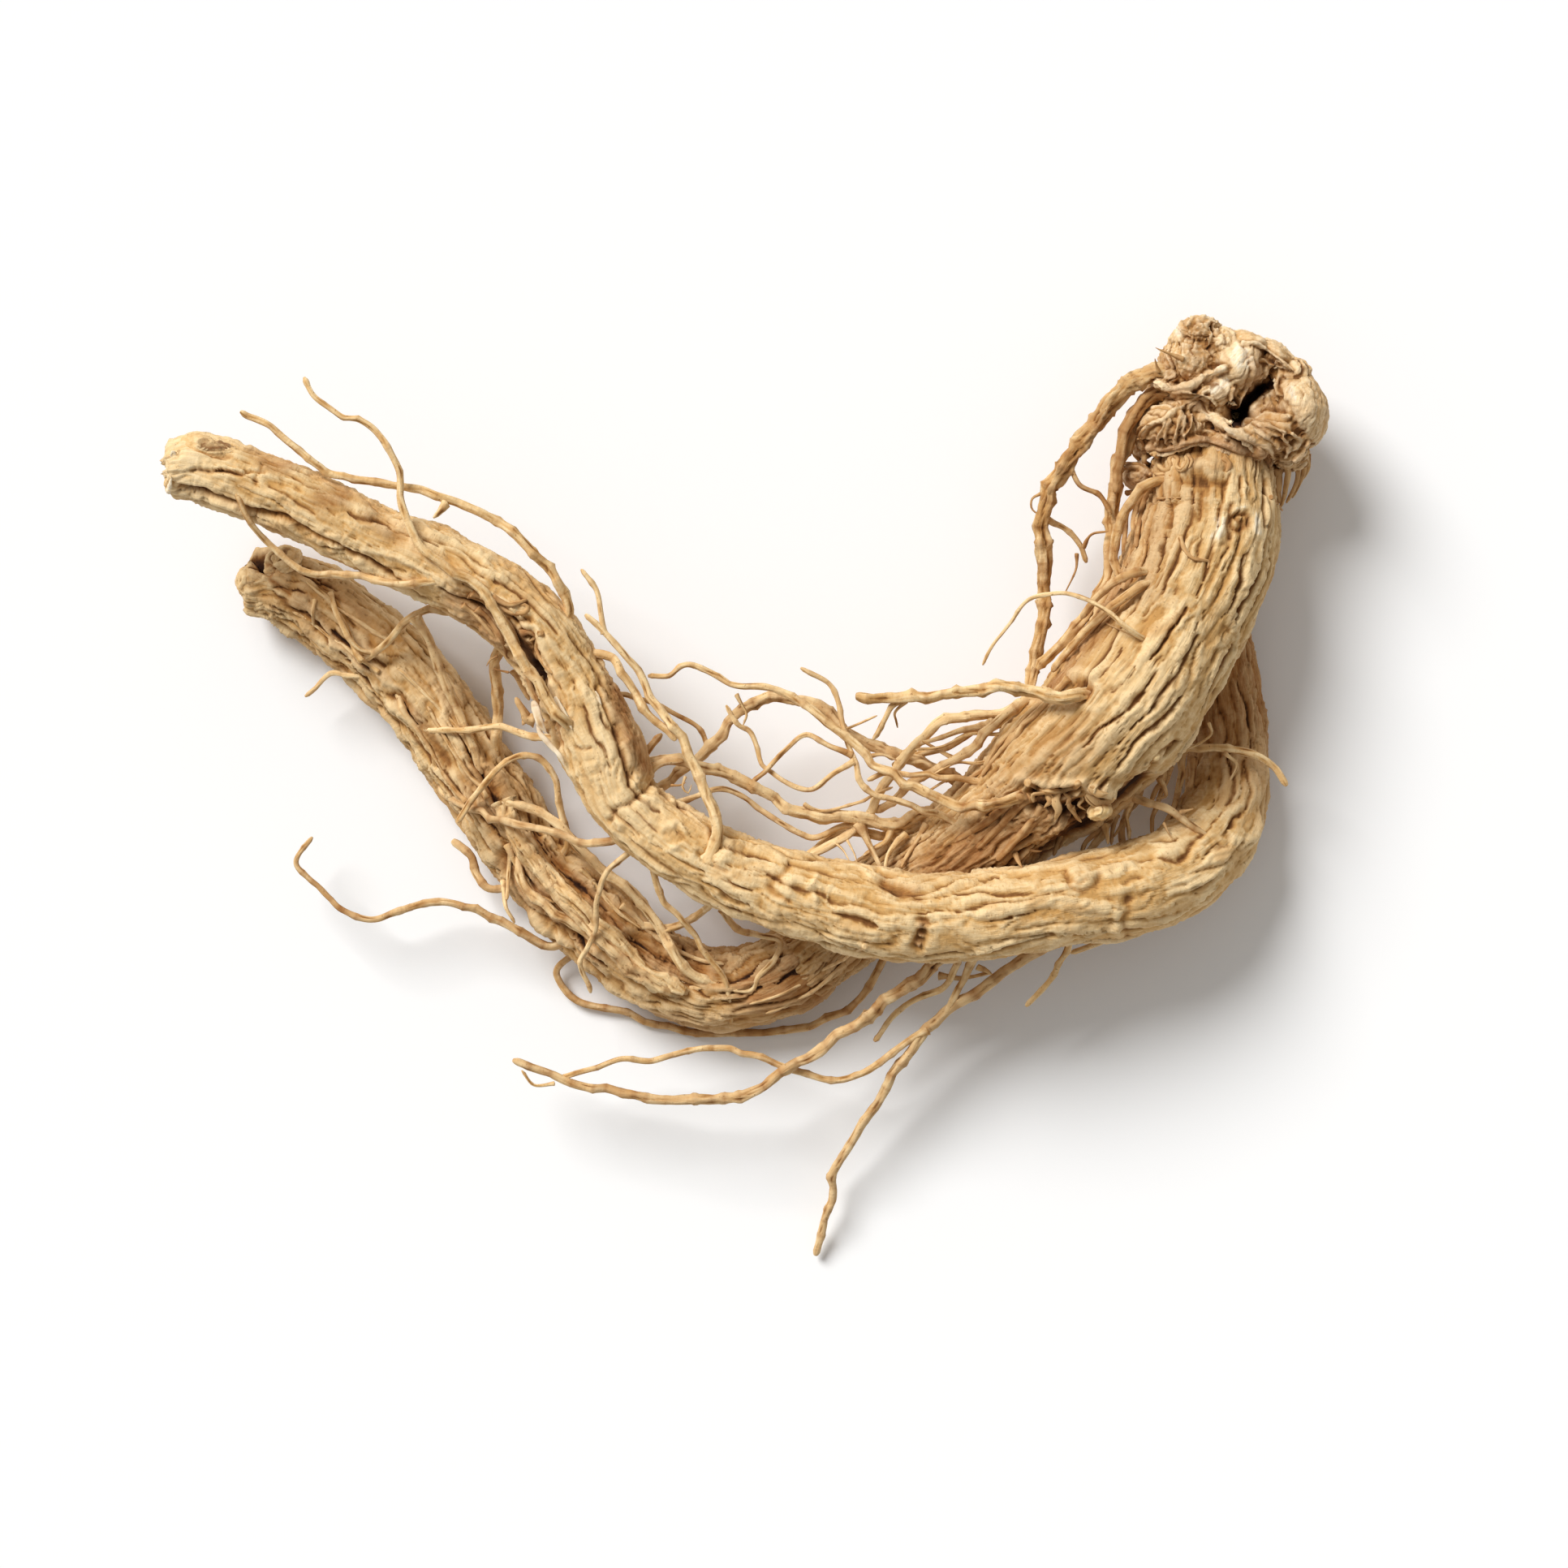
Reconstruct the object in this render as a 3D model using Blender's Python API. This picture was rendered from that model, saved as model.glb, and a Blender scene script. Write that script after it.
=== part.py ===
"""A dried cynanchum root, lying on a surface: one grown piece.

A knotted crown runs into a thick taproot, which thins, dips to the surface and ends in a cut tail.
A branch root leaves the taproot's underside, bends round and passes over it to its own cut end.
Dozens of rootlets stand out of both.

Routes are in millimetres, as (right, up, height, radius): right and up are read on a photograph
taken straight down, so drawn_in() pulls a point in towards the middle by its height.
"""

import math

import bmesh
import bpy
from mathutils import Matrix, Vector, noise

MM = 0.001
LENS_HEIGHT = 644.0
MIDDLE = (-4.68, -1.21)

TAPROOT_SIDES = 30
TAIL_SIDES = 20
BRANCH_SIDES = 20
RING_GAP = 5.1
LEAST_ROOTLET_RADIUS = 0.38
THICK_ROOTLET_RADIUS = 0.92
THIN_ROOTLET_RADIUS = 0.47
WRINKLE_SEED = 11
RIDGES = 2.3
RIDGE_WANDER = 0.03
RIDGE_STRETCH = 1.3
RIDGE_SHARPNESS = 3.0
SWELLS = 1.5
BROAD_SWELL = 0.07
FURROW_DEPTH = 0.13
MEAN_FURROW = 0.4
LEAST_EDGE = 0.02

ROOT_COLOUR = (0.60, 0.39, 0.19, 1.0)
ROOT_ROUGHNESS = 0.85

TAPROOT = [
    (66.0, 56.0, 13.0, 7.0),
    (64.5, 50.0, 13.0, 8.8),
    (63.0, 44.0, 13.3, 9.8),
    (62.7, 38.0, 14.6, 10.8),
    (60.9, 31.3, 16.3, 11.0),
    (57.0, 23.3, 18.0, 11.0),
    (52.5, 15.5, 19.2, 11.3),
    (46.8, 7.8, 19.2, 11.2),
    (40.5, 1.8, 17.4, 10.8),
    (35.0, -3.0, 14.6, 9.3),
    (29.0, -7.7, 12.4, 8.4),
    (23.0, -12.0, 10.0, 8.0),
]
TAIL = [
    (15.0, -16.9, 7.9, 7.1),
    (7.2, -22.4, 6.8, 6.4),
    (0.0, -28.0, 6.2, 6.3),
    (-8.5, -30.3, 5.7, 6.1),
    (-17.0, -28.3, 5.7, 6.1),
    (-25.0, -22.8, 6.3, 6.4),
    (-32.8, -15.8, 6.4, 6.4),
    (-39.2, -8.3, 6.2, 6.3),
    (-44.8, 0.0, 6.2, 6.2),
    (-49.7, 7.8, 6.2, 6.2),
    (-55.3, 14.8, 6.2, 6.3),
    (-61.5, 20.8, 5.8, 6.1),
    (-68.3, 26.0, 5.6, 6.0),
    (-74.0, 29.3, 6.0, 5.4),
    (-78.6, 29.9, 6.0, 3.6),
]
BRANCH = [
    (60.0, 33.0, 11.0, 4.5),
    (62.5, 26.5, 8.5, 5.2),
    (64.0, 19.0, 6.8, 5.5),
    (65.2, 11.0, 5.4, 5.9),
    (65.6, 3.5, 5.5, 6.0),
    (65.2, -3.0, 8.0, 6.3),
    (62.8, -8.6, 11.0, 6.6),
    (58.0, -12.8, 14.5, 6.8),
    (51.0, -15.6, 17.5, 7.0),
    (43.0, -17.0, 19.6, 6.7),
    (34.0, -18.8, 21.0, 6.5),
    (25.0, -19.8, 21.6, 6.7),
    (16.0, -19.4, 21.8, 6.8),
    (8.0, -17.9, 21.8, 6.5),
    (0.0, -15.8, 21.8, 6.2),
    (-9.0, -12.5, 21.8, 5.7),
    (-17.5, -7.7, 22.0, 5.5),
    (-23.5, -2.6, 22.0, 5.3),
    (-26.2, 3.5, 22.0, 6.2),
    (-29.3, 10.0, 22.0, 6.0),
    (-32.5, 16.2, 22.2, 5.7),
    (-36.5, 22.0, 22.5, 6.0),
    (-41.2, 26.3, 22.8, 5.9),
    (-46.9, 30.0, 23.0, 5.8),
    (-54.0, 33.5, 23.2, 5.6),
    (-60.0, 35.8, 23.4, 5.2),
    (-67.0, 39.2, 23.6, 5.3),
    (-74.0, 42.5, 23.8, 5.2),
    (-80.5, 44.8, 24.0, 5.2),
    (-86.3, 46.8, 24.0, 5.1),
    (-91.0, 46.6, 24.0, 3.4),
]

# Knots, joints and bend folds: (which route, share of its length, width in mm, depth as a share).
CREASES = {
    "branch": [(0.565, 1.6, 0.16), (0.50, 1.6, 0.10), (0.38, 1.2, 0.06), (0.26, 1.2, 0.07)],
    "taproot": [(0.10, 2.2, 0.12), (0.80, 2.4, 0.10)],
}

# Lobes of the crown: (right, up, height) of the middle, then the three half sizes and the turn in degrees.
CROWN_LOBES = [
    ((66.6, 56.3, 11.0), (10.6, 9.4, 11.6), -20),
    ((61.2, 62.2, 15.5), (5.2, 5.4, 8.5), 25),
    ((60.6, 66.4, 16.5), (3.2, 2.7, 4.6), 10),
    ((67.6, 61.4, 17.0), (6.2, 4.8, 8.0), -35),
    ((75.2, 54.8, 15.5), (4.9, 6.6, 8.5), 20),
    ((58.9, 52.3, 14.0), (7.3, 5.4, 9.8), -5),
    ((70.4, 51.2, 14.0), (8.0, 4.2, 8.6), 12),
    ((52.6, 46.6, 10.0), (2.6, 4.2, 5.0), -15),
    ((74.4, 45.6, 11.0), (1.9, 4.8, 5.4), -12),
]
LARGE_LOBE = 5.0
KNOBS = 2.1
LOBE_ROUGHNESS = 0.28
PIT_ROUGHNESS = 0.1
CROWN_PIT = ((69.9, 57.8, 25.0), (1.5, 3.8, 8.0), -30)

# Knobs at the two cut ends, and the nub by the taproot's scar.
END_KNOBS = [
    ((-74.0, 32.6, 7.0), (2.9, 2.4, 3.4), 30),
    ((-78.7, 28.6, 5.4), (1.9, 2.3, 3.0), 0),
    ((-85.0, 50.0, 24.5), (3.0, 2.0, 3.0), -15),
    ((-90.2, 44.3, 24.0), (1.6, 1.5, 2.6), 0),
    ((47.0, -3.4, 17.5), (2.0, 1.7, 2.2), 20),
]
KNOB_ROUGHNESS = 0.25

# Rootlets: diameter where it grows out, diameter at the tip, then (right, up, height) from root to tip.
ROOTLETS = [
    # the thick one that hangs from the crown, and its threads
    (2.8, 1.6, [(58, 61, 16), (54, 60.4, 18), (50.5, 58.3, 18.5), (47, 54.5, 18), (42, 47.6, 16.5),
                (39.2, 42.8, 15.5), (38.3, 38, 14.5), (38.6, 31, 13), (38.4, 26, 12), (37.6, 21, 11.5),
                (36.4, 14, 11)]),
    (0.8, 0.7, [(42, 47.6, 16.5), (43.7, 44.2, 16.5), (46.5, 42.6, 16), (48.3, 40, 16)]),
    (0.9, 0.8, [(38.4, 39.6, 14.6), (41.5, 37.8, 13), (43.5, 35.3, 12), (44.6, 32.8, 11)]),
    # strands that hug the taproot's left flank
    (2.2, 1.4, [(60.5, 55.5, 13), (53, 55.3, 16.5), (51.3, 51.5, 16), (49.2, 46.5, 15), (48.5, 41, 14.5),
                (48.4, 35.5, 14.5), (47.5, 30, 15), (45.2, 25.6, 16), (41.8, 21.4, 16.5),
                (37.5, 17, 16)]),
    (1.6, 1.2, [(59, 45, 14.5), (54.3, 44.4, 19.6), (50, 39.5, 19.2), (49, 34, 18.5), (50.5, 29, 19)]),
    (1.4, 1.0, [(59, 31, 19.5), (53, 31.3, 25.6), (49.5, 30.2, 25.5), (46.3, 27.8, 24), (44, 24.5, 22)]),
    (1.5, 1.0, [(58.5, 30, 19.5), (53.5, 29.5, 26.2), (49.5, 26.7, 26.5), (45.8, 23.8, 25),
                (42.6, 20, 23), (39.5, 16.8, 21)]),
    (1.1, 0.7, [(57, 19.5, 23.5), (52, 22.3, 29.8), (48, 25.3, 30), (44, 27.4, 29), (40, 28.1, 28),
                (36.2, 27.3, 27), (33.6, 24.3, 26), (31, 21, 25), (29.3, 17.7, 24)]),
    # the straight one out of the scar, and its thread
    (2.0, 1.4, [(47.5, 13.5, 21), (43.6, 13, 28.9), (40, 12.7, 29.2), (35.5, 14.2, 28.2),
                (30, 14.2, 27.4), (23, 13.2, 26.6), (16, 12.7, 26), (10.7, 12.9, 25.6)]),
    (0.8, 0.7, [(20.5, 13, 26.3), (17, 12.1, 25.4), (14.8, 9.6, 24.4), (13, 6.8, 23.6)]),
    # the tangle in the crook
    (1.8, 1.4, [(29, -3, 12), (25, 1.4, 13), (21, 2.7, 14), (17, 4.3, 15), (12.5, 5.9, 15.5),
                (8.5, 8.8, 15.5), (4.5, 11.6, 15.5), (-1.5, 13, 15.2), (-6, 11.4, 14.5),
                (-9.5, 7.6, 13.8), (-13.5, 3, 13), (-18, -0.2, 12.4), (-24, -3, 17)]),
    (1.8, 0.7, [(39.5, 0, 17.5), (35.2, -1.5, 23.6), (31, -3.4, 24.6), (26, -3.2, 24), (20, -0.7, 23.2),
                (15, 1.8, 22.4), (10, 6, 21.6), (4, 11.2, 20.8), (-1.5, 14.2, 20.2), (-7.6, 14.8, 19.8),
                (-13.4, 17.6, 19.8), (-17, 16, 19.8), (-20, 15.8, 19.8)]),
    (1.1, 0.7, [(33, -12, 16), (28.5, -8.7, 18.3), (24, -5, 18.7), (17.5, -2.8, 19.6), (12.2, -0.6, 20),
                (10.4, 3.4, 20.2), (9, 8, 20), (8.2, 12, 20), (6.5, 14.9, 20), (2.5, 17, 20)]),
    (1.9, 1.5, [(24, -5, 12), (20, -4.2, 14.6), (17, -6, 15.6), (14, -6.1, 16.2), (10.5, -4.8, 16.8),
                (4, -4.8, 17.6), (-1, -2.9, 18.2), (-4.6, 0, 18.8), (-11, 2.3, 19.6), (-15.5, 3.4, 20),
                (-21.5, 2.6, 20.4)]),
    (1.6, 1.2, [(41, 9.5, 16), (36, 12.2, 15.2), (32, 10.6, 15.5), (26.5, 9.6, 16.5), (23, 9.1, 17),
                (19.6, 6, 17.2), (16.4, 1.8, 17), (13.4, -2, 16.6), (11, -6.5, 16), (4, -10.6, 17.2)]),
    (1.2, 0.9, [(37, 7, 14.5), (33, 9, 12.8), (28.4, 8, 13.6), (24.5, 5.8, 14), (20, 4.6, 14),
                (16, 3, 13.8)]),
    (1.5, 1.0, [(39, 13.5, 20), (34.5, 11.6, 20.4), (31, 9, 20.2), (28, 5.4, 19.6), (23.5, 2.7, 18.6),
                (20.3, 1, 17.8), (17.5, -1.2, 17), (13.5, -4, 16)]),
    (1.0, 0.8, [(33, -2, 17.5), (28, 0.4, 19.5), (22.5, 1.3, 20.2), (17, 1.4, 20.4), (14.6, 1.5, 20.6),
                (12.5, 0.5, 20.8)]),
    (0.8, 0.7, [(10.1, 4.3, 20.2), (7, 5.5, 20), (3.3, 7.2, 19.6), (0, 4.9, 19.2), (-4.8, 0.2, 18.8)]),
    (0.8, 0.7, [(10.4, 3.4, 20.2), (7.5, 1.6, 19), (4, -0.9, 18.4), (0, 0.4, 18.2), (-3, 3, 18.2),
                (-4.8, 7.6, 18.4), (-6.8, 8.9, 18.6), (-8.7, 11.4, 18.8)]),
    (0.9, 0.8, [(15.5, -6.05, 15.9), (9, -6.1, 16), (4, -8.2, 16.6), (-1, -5.5, 17.2), (-6, -1.8, 17.8),
                (-9.5, -0.8, 18.2), (-13, -1.8, 18.6), (-18, -3.4, 19.2)]),
    (1.5, 1.2, [(20, -11, 12), (15.5, -7.8, 14), (8.5, -7.4, 14.6), (4, -10, 15), (0, -14, 18.5)]),
    (0.8, 0.7, [(-29.5, 13.5, 20.5), (-22, 13, 15.5), (-16, 10.2, 13.5), (-12.4, 8.2, 12.6),
                (-11, 5, 12.6)]),
    # beside the branch's inner flank
    (1.8, 0.8, [(-11.5, -11.5, 26), (-10, -7.5, 27), (-10.4, -4, 26.6), (-12.5, 1, 26),
                (-15.2, 6.4, 25.6), (-18.6, 11, 25.2), (-21.2, 16, 25), (-24.8, 20.4, 25),
                (-29.3, 25, 25)]),
    (0.8, 0.7, [(-26.6, 22.25, 25), (-27.2, 26, 25), (-27.8, 29, 25), (-30, 31.6, 25)]),
    (1.3, 1.1, [(-32, 19.8, 22), (-26.4, 18.8, 24), (-23.6, 16, 24.6), (-20.6, 11, 24.9),
                (-16, 6.6, 25.2)]),
    # over and behind the scar, in the shade between taproot and branch
    (2.3, 1.3, [(41, -2.5, 18), (37.5, -5.8, 19.5), (34, -8.6, 18.5), (30.5, -11.7, 17), (27, -14, 16)]),
    (1.5, 1.2, [(36, -4, 18), (32, -7.4, 18.6), (28.5, -9.5, 17.6), (24.5, -13.8, 16)]),
    (1.3, 1.0, [(50, 2, 16), (48.4, -5, 13.4), (45.5, -9.5, 14.4), (43.5, -13, 16)]),
    (1.2, 1.0, [(52, 6, 15), (52.6, 0.5, 11.8), (51.2, -3.5, 11.6), (49.6, -8, 12.6), (49.5, -12, 14)]),
    (1.3, 0.9, [(50.4, -1.2, 16), (53.5, -2.7, 18.6), (56.8, -3.7, 19), (59.6, -5.6, 18.4),
                (62.4, -8, 17.2), (63, -10.6, 15)]),
    (1.3, 1.0, [(53, 8, 15.5), (57, 4.8, 13.4), (60, 5.1, 13.6), (65, 5, 14.2), (69.6, 4.5, 14.4),
                (72.6, 2.7, 14.2), (74.3, -0.2, 14)]),
    # under the branch, towards the front
    (1.9, 1.1, [(26, -22.5, 20.5), (22, -26.8, 17.8), (19, -29.2, 17), (15, -32.2, 16), (10, -35.8, 15),
                (4, -40, 14), (0, -42.6, 13.4), (-6, -45.8, 12.6), (-12, -46.5, 12), (-18, -46.8, 11.4),
                (-25, -45.5, 11), (-31, -44.3, 10.8), (-36, -42.4, 10.8), (-40, -40.8, 11)]),
    (1.1, 0.8, [(21.2, -36.4, 13.25), (15.5, -40, 12.6), (11, -43.2, 12), (6, -43.6, 11.8),
                (0, -41.6, 11.8), (-5.5, -39.8, 11.8), (-12, -39.1, 11.6), (-20, -40.8, 11.2),
                (-25, -40.9, 11), (-33, -43.6, 10.8)]),
    (1.7, 1.1, [(40, -22.5, 19), (34, -27, 17), (28.6, -30.6, 15.6), (22.4, -35, 13.8), (18, -40, 11.8),
                (15.4, -45, 10), (10.6, -52, 7.4), (7.4, -57.6, 5.4), (6.8, -63, 3.6),
                (4.7, -69.7, 1.6)]),
    (1.2, 1.0, [(30, -22, 19.8), (27.6, -27, 17.2), (26.4, -29.6, 16.4), (24, -33.8, 14.4)]),
    (1.0, 0.8, [(27, -23, 19.5), (25.2, -27, 17.4), (23.4, -30.4, 15.6), (17.5, -33, 14),
                (13.3, -37.8, 12.6)]),
    (1.2, 1.0, [(17, -22, 8), (12, -30.8, 4.5), (6.5, -34.8, 2.4), (0, -36.4, 1.5), (-9, -36.8, 1.2),
                (-16, -36.3, 1.2), (-23, -33.8, 1.2), (-30.6, -32, 1.2), (-33.5, -27.8, 1.8),
                (-31, -24.5, 3.5)]),
    (1.0, 0.8, [(43, -20.5, 19.5), (41, -26.2, 17), (39.6, -29, 16), (36, -33, 14.6)]),
    (0.9, 0.8, [(49.5, -18.5, 16.5), (47.6, -22.6, 14.6), (45.4, -24, 14), (42.6, -25.1, 13.4)]),
    # over the tail
    (1.4, 0.7, [(-29.5, -21, 6.5), (-34, -24.2, 7), (-39, -21.9, 7.4), (-44, -19.4, 7.8), (-48, -17.6, 8),
                (-52, -17.5, 8), (-57, -18.8, 8), (-61, -19.9, 8), (-66, -18, 8), (-69, -14.8, 8),
                (-72, -11.7, 8), (-69.7, -8, 8)]),
    (1.2, 1.2, [(-37, -14.5, 6.6), (-43, -15.7, 6), (-45.3, -13.6, 5.6), (-46.2, -10.6, 5.6),
                (-49, -8.4, 5.6)]),
    (1.2, 1.0, [(-21, -7, 21.5), (-28, -9, 20), (-34, -7.1, 18), (-40, -6, 15.6), (-46, -3.9, 12.4),
                (-50.6, -1, 8.5), (-49.6, 4.5, 7.5)]),
    (0.9, 0.7, [(-20.5, -8, 21.5), (-26, -13, 19.6), (-27.6, -17, 17.4), (-27.7, -21.4, 15.4),
                (-30, -26, 13), (-28.8, -30.8, 11)]),
    (1.0, 0.9, [(-34, -11.5, 8.5), (-31.8, -8.5, 11.5), (-33, -4, 13.4), (-34.4, 1.6, 15), (-37, 4, 15.6),
                (-40, 3.9, 15.6), (-44.4, 0, 14.8), (-48.4, -5.4, 13.4)]),
    (1.0, 0.8, [(-18.5, -9.5, 20), (-19, -13.5, 18), (-18, -17.4, 16.6), (-15, -20, 15.6),
                (-11, -25.6, 13.4), (-8.4, -30, 12), (-7.8, -35.2, 8.6)]),
    (1.5, 1.3, [(-9, -30, 10), (-14.6, -27.4, 12.2), (-17.8, -22.2, 12.6), (-22, -16.4, 12.8),
                (-28, -11.4, 13), (-34, -5.5, 13.2), (-41.5, -2.2, 12.8)]),
    (1.2, 1.0, [(-23, -20.6, 10), (-17, -21.3, 11.5), (-13.4, -19.6, 13.4), (-10, -16.5, 18)]),
    (2.4, 1.7, [(-12, -29.6, 9.5), (-16.5, -30.8, 10.8), (-21, -28.5, 12.2), (-27, -22.7, 13),
                (-33, -16.4, 13), (-38, -10, 12.4), (-42, -3.8, 9.5)]),
    (1.5, 1.2, [(-28, -22.4, 11.2), (-34, -18.8, 12), (-38.4, -14.6, 11.4), (-39.4, -8, 10)]),
    (1.2, 0.9, [(-47, 25.6, 20), (-52, 25.6, 18.2), (-55.4, 24.4, 17), (-58, 21.4, 15.2),
                (-60.6, 19.2, 13.6), (-64, 17.6, 10)]),
    (0.9, 0.8, [(-67, 28, 10), (-65.6, 24.6, 13), (-63, 20, 13.8), (-60.2, 19, 13.4)]),
    (0.9, 0.7, [(-58.5, 15.5, 9.5), (-64, 15.9, 9.4), (-67, 16.2, 8), (-70.6, 12.9, 7)]),
    (1.5, 1.1, [(-54.6, 24.7, 17.3), (-53, 22, 16.4), (-51, 17.6, 15), (-49, 12.4, 13.6),
                (-46.8, 7, 12.4), (-44.6, 1.6, 11)]),
    (1.7, 1.5, [(-40, 23, 19), (-42.6, 19, 15.6), (-42.5, 13, 12.6), (-42.2, 7, 10.6), (-42, 2, 8.6)]),
    (1.1, 0.9, [(-31.5, 6.4, 21), (-37.4, 7.2, 18.4), (-43, 8.2, 15.6), (-49, 7.8, 13.2),
                (-55.4, 8.6, 10)]),
    (1.0, 0.9, [(-57.8, 15.5, 10), (-56.6, 11, 11.6), (-54, 7.4, 11.2), (-50.2, 2.4, 8.4)]),
    # along and above the branch's far end
    (1.5, 0.9, [(-34.5, 22.5, 23.5), (-31.8, 25.4, 24.6), (-33, 29.4, 25.6), (-35.4, 32.7, 26),
                (-41, 37.6, 26.2), (-46, 40.4, 26.2), (-52, 43, 26.2), (-59, 44.4, 26.2),
                (-66.6, 45.6, 26.4), (-69, 47.2, 26.6), (-73.6, 50.8, 27), (-76.6, 53.2, 27),
                (-80.3, 55, 27)]),
    (1.7, 0.7, [(-30, 8, 24.5), (-32.5, 9.5, 27.8), (-34.5, 11.4, 28.2), (-38, 17.4, 28.2),
                (-41, 23, 28.6), (-44.6, 28.6, 29), (-50, 32.4, 29.2), (-54, 35.4, 29.2), (-56.2, 41, 29),
                (-57.2, 46.6, 28.8), (-60.4, 52, 28.6), (-66, 54.9, 28.4), (-69.4, 57, 28.2),
                (-71, 60, 28)]),
    (1.3, 0.8, [(-46.5, 29.6, 26.5), (-51.5, 30.1, 27.8), (-57, 29.6, 26.6), (-63, 30.7, 24.6),
                (-70, 31.5, 24), (-75.5, 35, 25), (-79.2, 39.2, 27), (-81, 42.8, 28)]),
]


def drawn_in(right, up, height):
    """The place, in millimetres, of a point that a lens above the middle sees at (right, up)."""
    share = 1.0 - height / LENS_HEIGHT
    return Vector((right * share - MIDDLE[0], up * share - MIDDLE[1], height))


def through(points, gap):
    """A smooth line through points of four numbers, with a new point about every gap millimetres."""
    values = [Vector(p) for p in points]
    ends = [2 * values[0] - values[1]] + values + [2 * values[-1] - values[-2]]
    line = []
    for before, start, end, after in zip(ends, ends[1:], ends[2:], ends[3:]):
        count = max(1, round((end - start).to_3d().length / gap))
        for step in range(count):
            t = step / count
            line.append(
                0.5
                * (
                    2 * start
                    + (end - before) * t
                    + (2 * before - 5 * start + 4 * end - after) * t**2
                    + (3 * start - before - 3 * end + after) * t**3
                )
            )
    return line + [values[-1]]


def creased(share, length, creases):
    """The share of its radius that a root keeps at this share of its length, where creases pinch it."""
    kept = 1.0
    for at, width, depth in creases:
        kept -= depth * math.exp(-(((share - at) * length / width) ** 2))
    return kept


def wrinkled(angle, along, seed):
    """Ridges that run lengthways and wander: a share of the radius."""
    around = Vector((math.cos(angle), math.sin(angle), 0.0))
    down = Vector((0.0, 0.0, seed + along * RIDGE_WANDER))
    broad = noise.noise(around * SWELLS + down)
    ridge = abs(noise.noise(around * RIDGES + down * RIDGE_STRETCH))
    furrow = max(1.0 - RIDGE_SHARPNESS * ridge, 0.0)
    return 1.0 + BROAD_SWELL * broad + FURROW_DEPTH * (MEAN_FURROW - furrow)


def swept(name, centres, radii, sides, shape=None):
    """A closed tube through centres. shape(angle, distance, share of length) scales the radius."""
    mesh = bmesh.new()
    length = sum((b - a).length for a, b in zip(centres, centres[1:]))
    across = Vector((0.0, 0.0, 1.0))
    travelled = 0.0
    rings = []
    for i, centre in enumerate(centres):
        ahead = (centres[min(i + 1, len(centres) - 1)] - centres[max(i - 1, 0)]).normalized()
        across = (across - ahead * across.dot(ahead)).normalized()
        side = ahead.cross(across)
        travelled += (centre - centres[i - 1]).length if i else 0.0
        ring = []
        for k in range(sides):
            angle = math.tau * k / sides
            radius = radii[i] * (shape(angle, travelled, travelled / length) if shape else 1.0)
            ring.append(mesh.verts.new(centre + radius * (math.cos(angle) * across + math.sin(angle) * side)))
        rings.append(ring)
    for ring, following in zip(rings, rings[1:]):
        for k in range(sides):
            after = (k + 1) % sides
            mesh.faces.new((ring[k], following[k], following[after], ring[after]))
    for ring in (rings[0], rings[-1]):
        mesh.faces.new(ring)
    bmesh.ops.recalc_face_normals(mesh, faces=mesh.faces)
    bmesh.ops.triangulate(mesh, faces=mesh.faces)
    return linked(name, mesh)


def linked(name, mesh):
    """A new object in the scene's collection, holding this mesh in millimetres turned to metres."""
    bmesh.ops.scale(mesh, vec=(MM, MM, MM), verts=mesh.verts)
    data = bpy.data.meshes.new(name)
    mesh.to_mesh(data)
    mesh.free()
    obj = bpy.data.objects.new(name, data)
    bpy.context.scene.collection.objects.link(obj)
    return obj


def root_body(name, route, sides, creases):
    """One of the thick roots: a swept tube with wandering ridges and pinched joints."""
    line = through(route, RING_GAP)
    centres = [drawn_in(*p[:3]) for p in line]
    radii = [p[3] * (1.0 - p[2] / LENS_HEIGHT) for p in line]
    length = sum((b - a).length for a, b in zip(centres, centres[1:]))

    def shape(angle, along, share):
        return wrinkled(angle, along, WRINKLE_SEED + sides) * creased(share, length, creases)

    return swept(name, centres, radii, sides, shape)


def rootlet(name, root_diameter, tip_diameter, points):
    """A thin root of few sides, tapering from where it grows out to its tip."""
    centres = [drawn_in(*p) for p in points]
    last = len(centres) - 1
    radii = [
        max(LEAST_ROOTLET_RADIUS, 0.5 * (root_diameter + (tip_diameter - root_diameter) * i / last))
        for i in range(last + 1)
    ]
    sides = 5 if radii[0] > THICK_ROOTLET_RADIUS else 3 if radii[0] < THIN_ROOTLET_RADIUS else 4
    return swept(name, centres, radii, sides)


def lump(name, middle, half_sizes, turn, roughness, detail):
    """A knobbly ball, stretched, turned about the upright and roughened."""
    mesh = bmesh.new()
    bmesh.ops.create_icosphere(mesh, subdivisions=detail, radius=1.0)
    for vert in mesh.verts:
        vert.co *= 1.0 + roughness * noise.noise(vert.co * KNOBS + Vector(middle))
    bmesh.ops.scale(mesh, vec=half_sizes, verts=mesh.verts)
    turned = Matrix.Rotation(math.radians(turn), 3, "Z")
    bmesh.ops.rotate(mesh, cent=(0, 0, 0), matrix=turned, verts=mesh.verts)
    bmesh.ops.translate(mesh, vec=drawn_in(*middle), verts=mesh.verts)
    return linked(name, mesh)


def joined(base, others, operation="UNION"):
    """base with every one of others joined to it, or cut from it, for good."""
    group = bpy.data.collections.new("joining")
    bpy.context.scene.collection.children.link(group)
    for other in others:
        bpy.context.scene.collection.objects.unlink(other)
        group.objects.link(other)
    join = base.modifiers.new("join", "BOOLEAN")
    join.operation = operation
    join.operand_type = "COLLECTION"
    join.collection = group
    join.solver = "MANIFOLD"
    with bpy.context.temp_override(object=base, active_object=base):
        bpy.ops.object.modifier_apply(modifier=join.name)
    for other in others:
        bpy.data.objects.remove(other)
    bpy.data.collections.remove(group)
    return base


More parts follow.
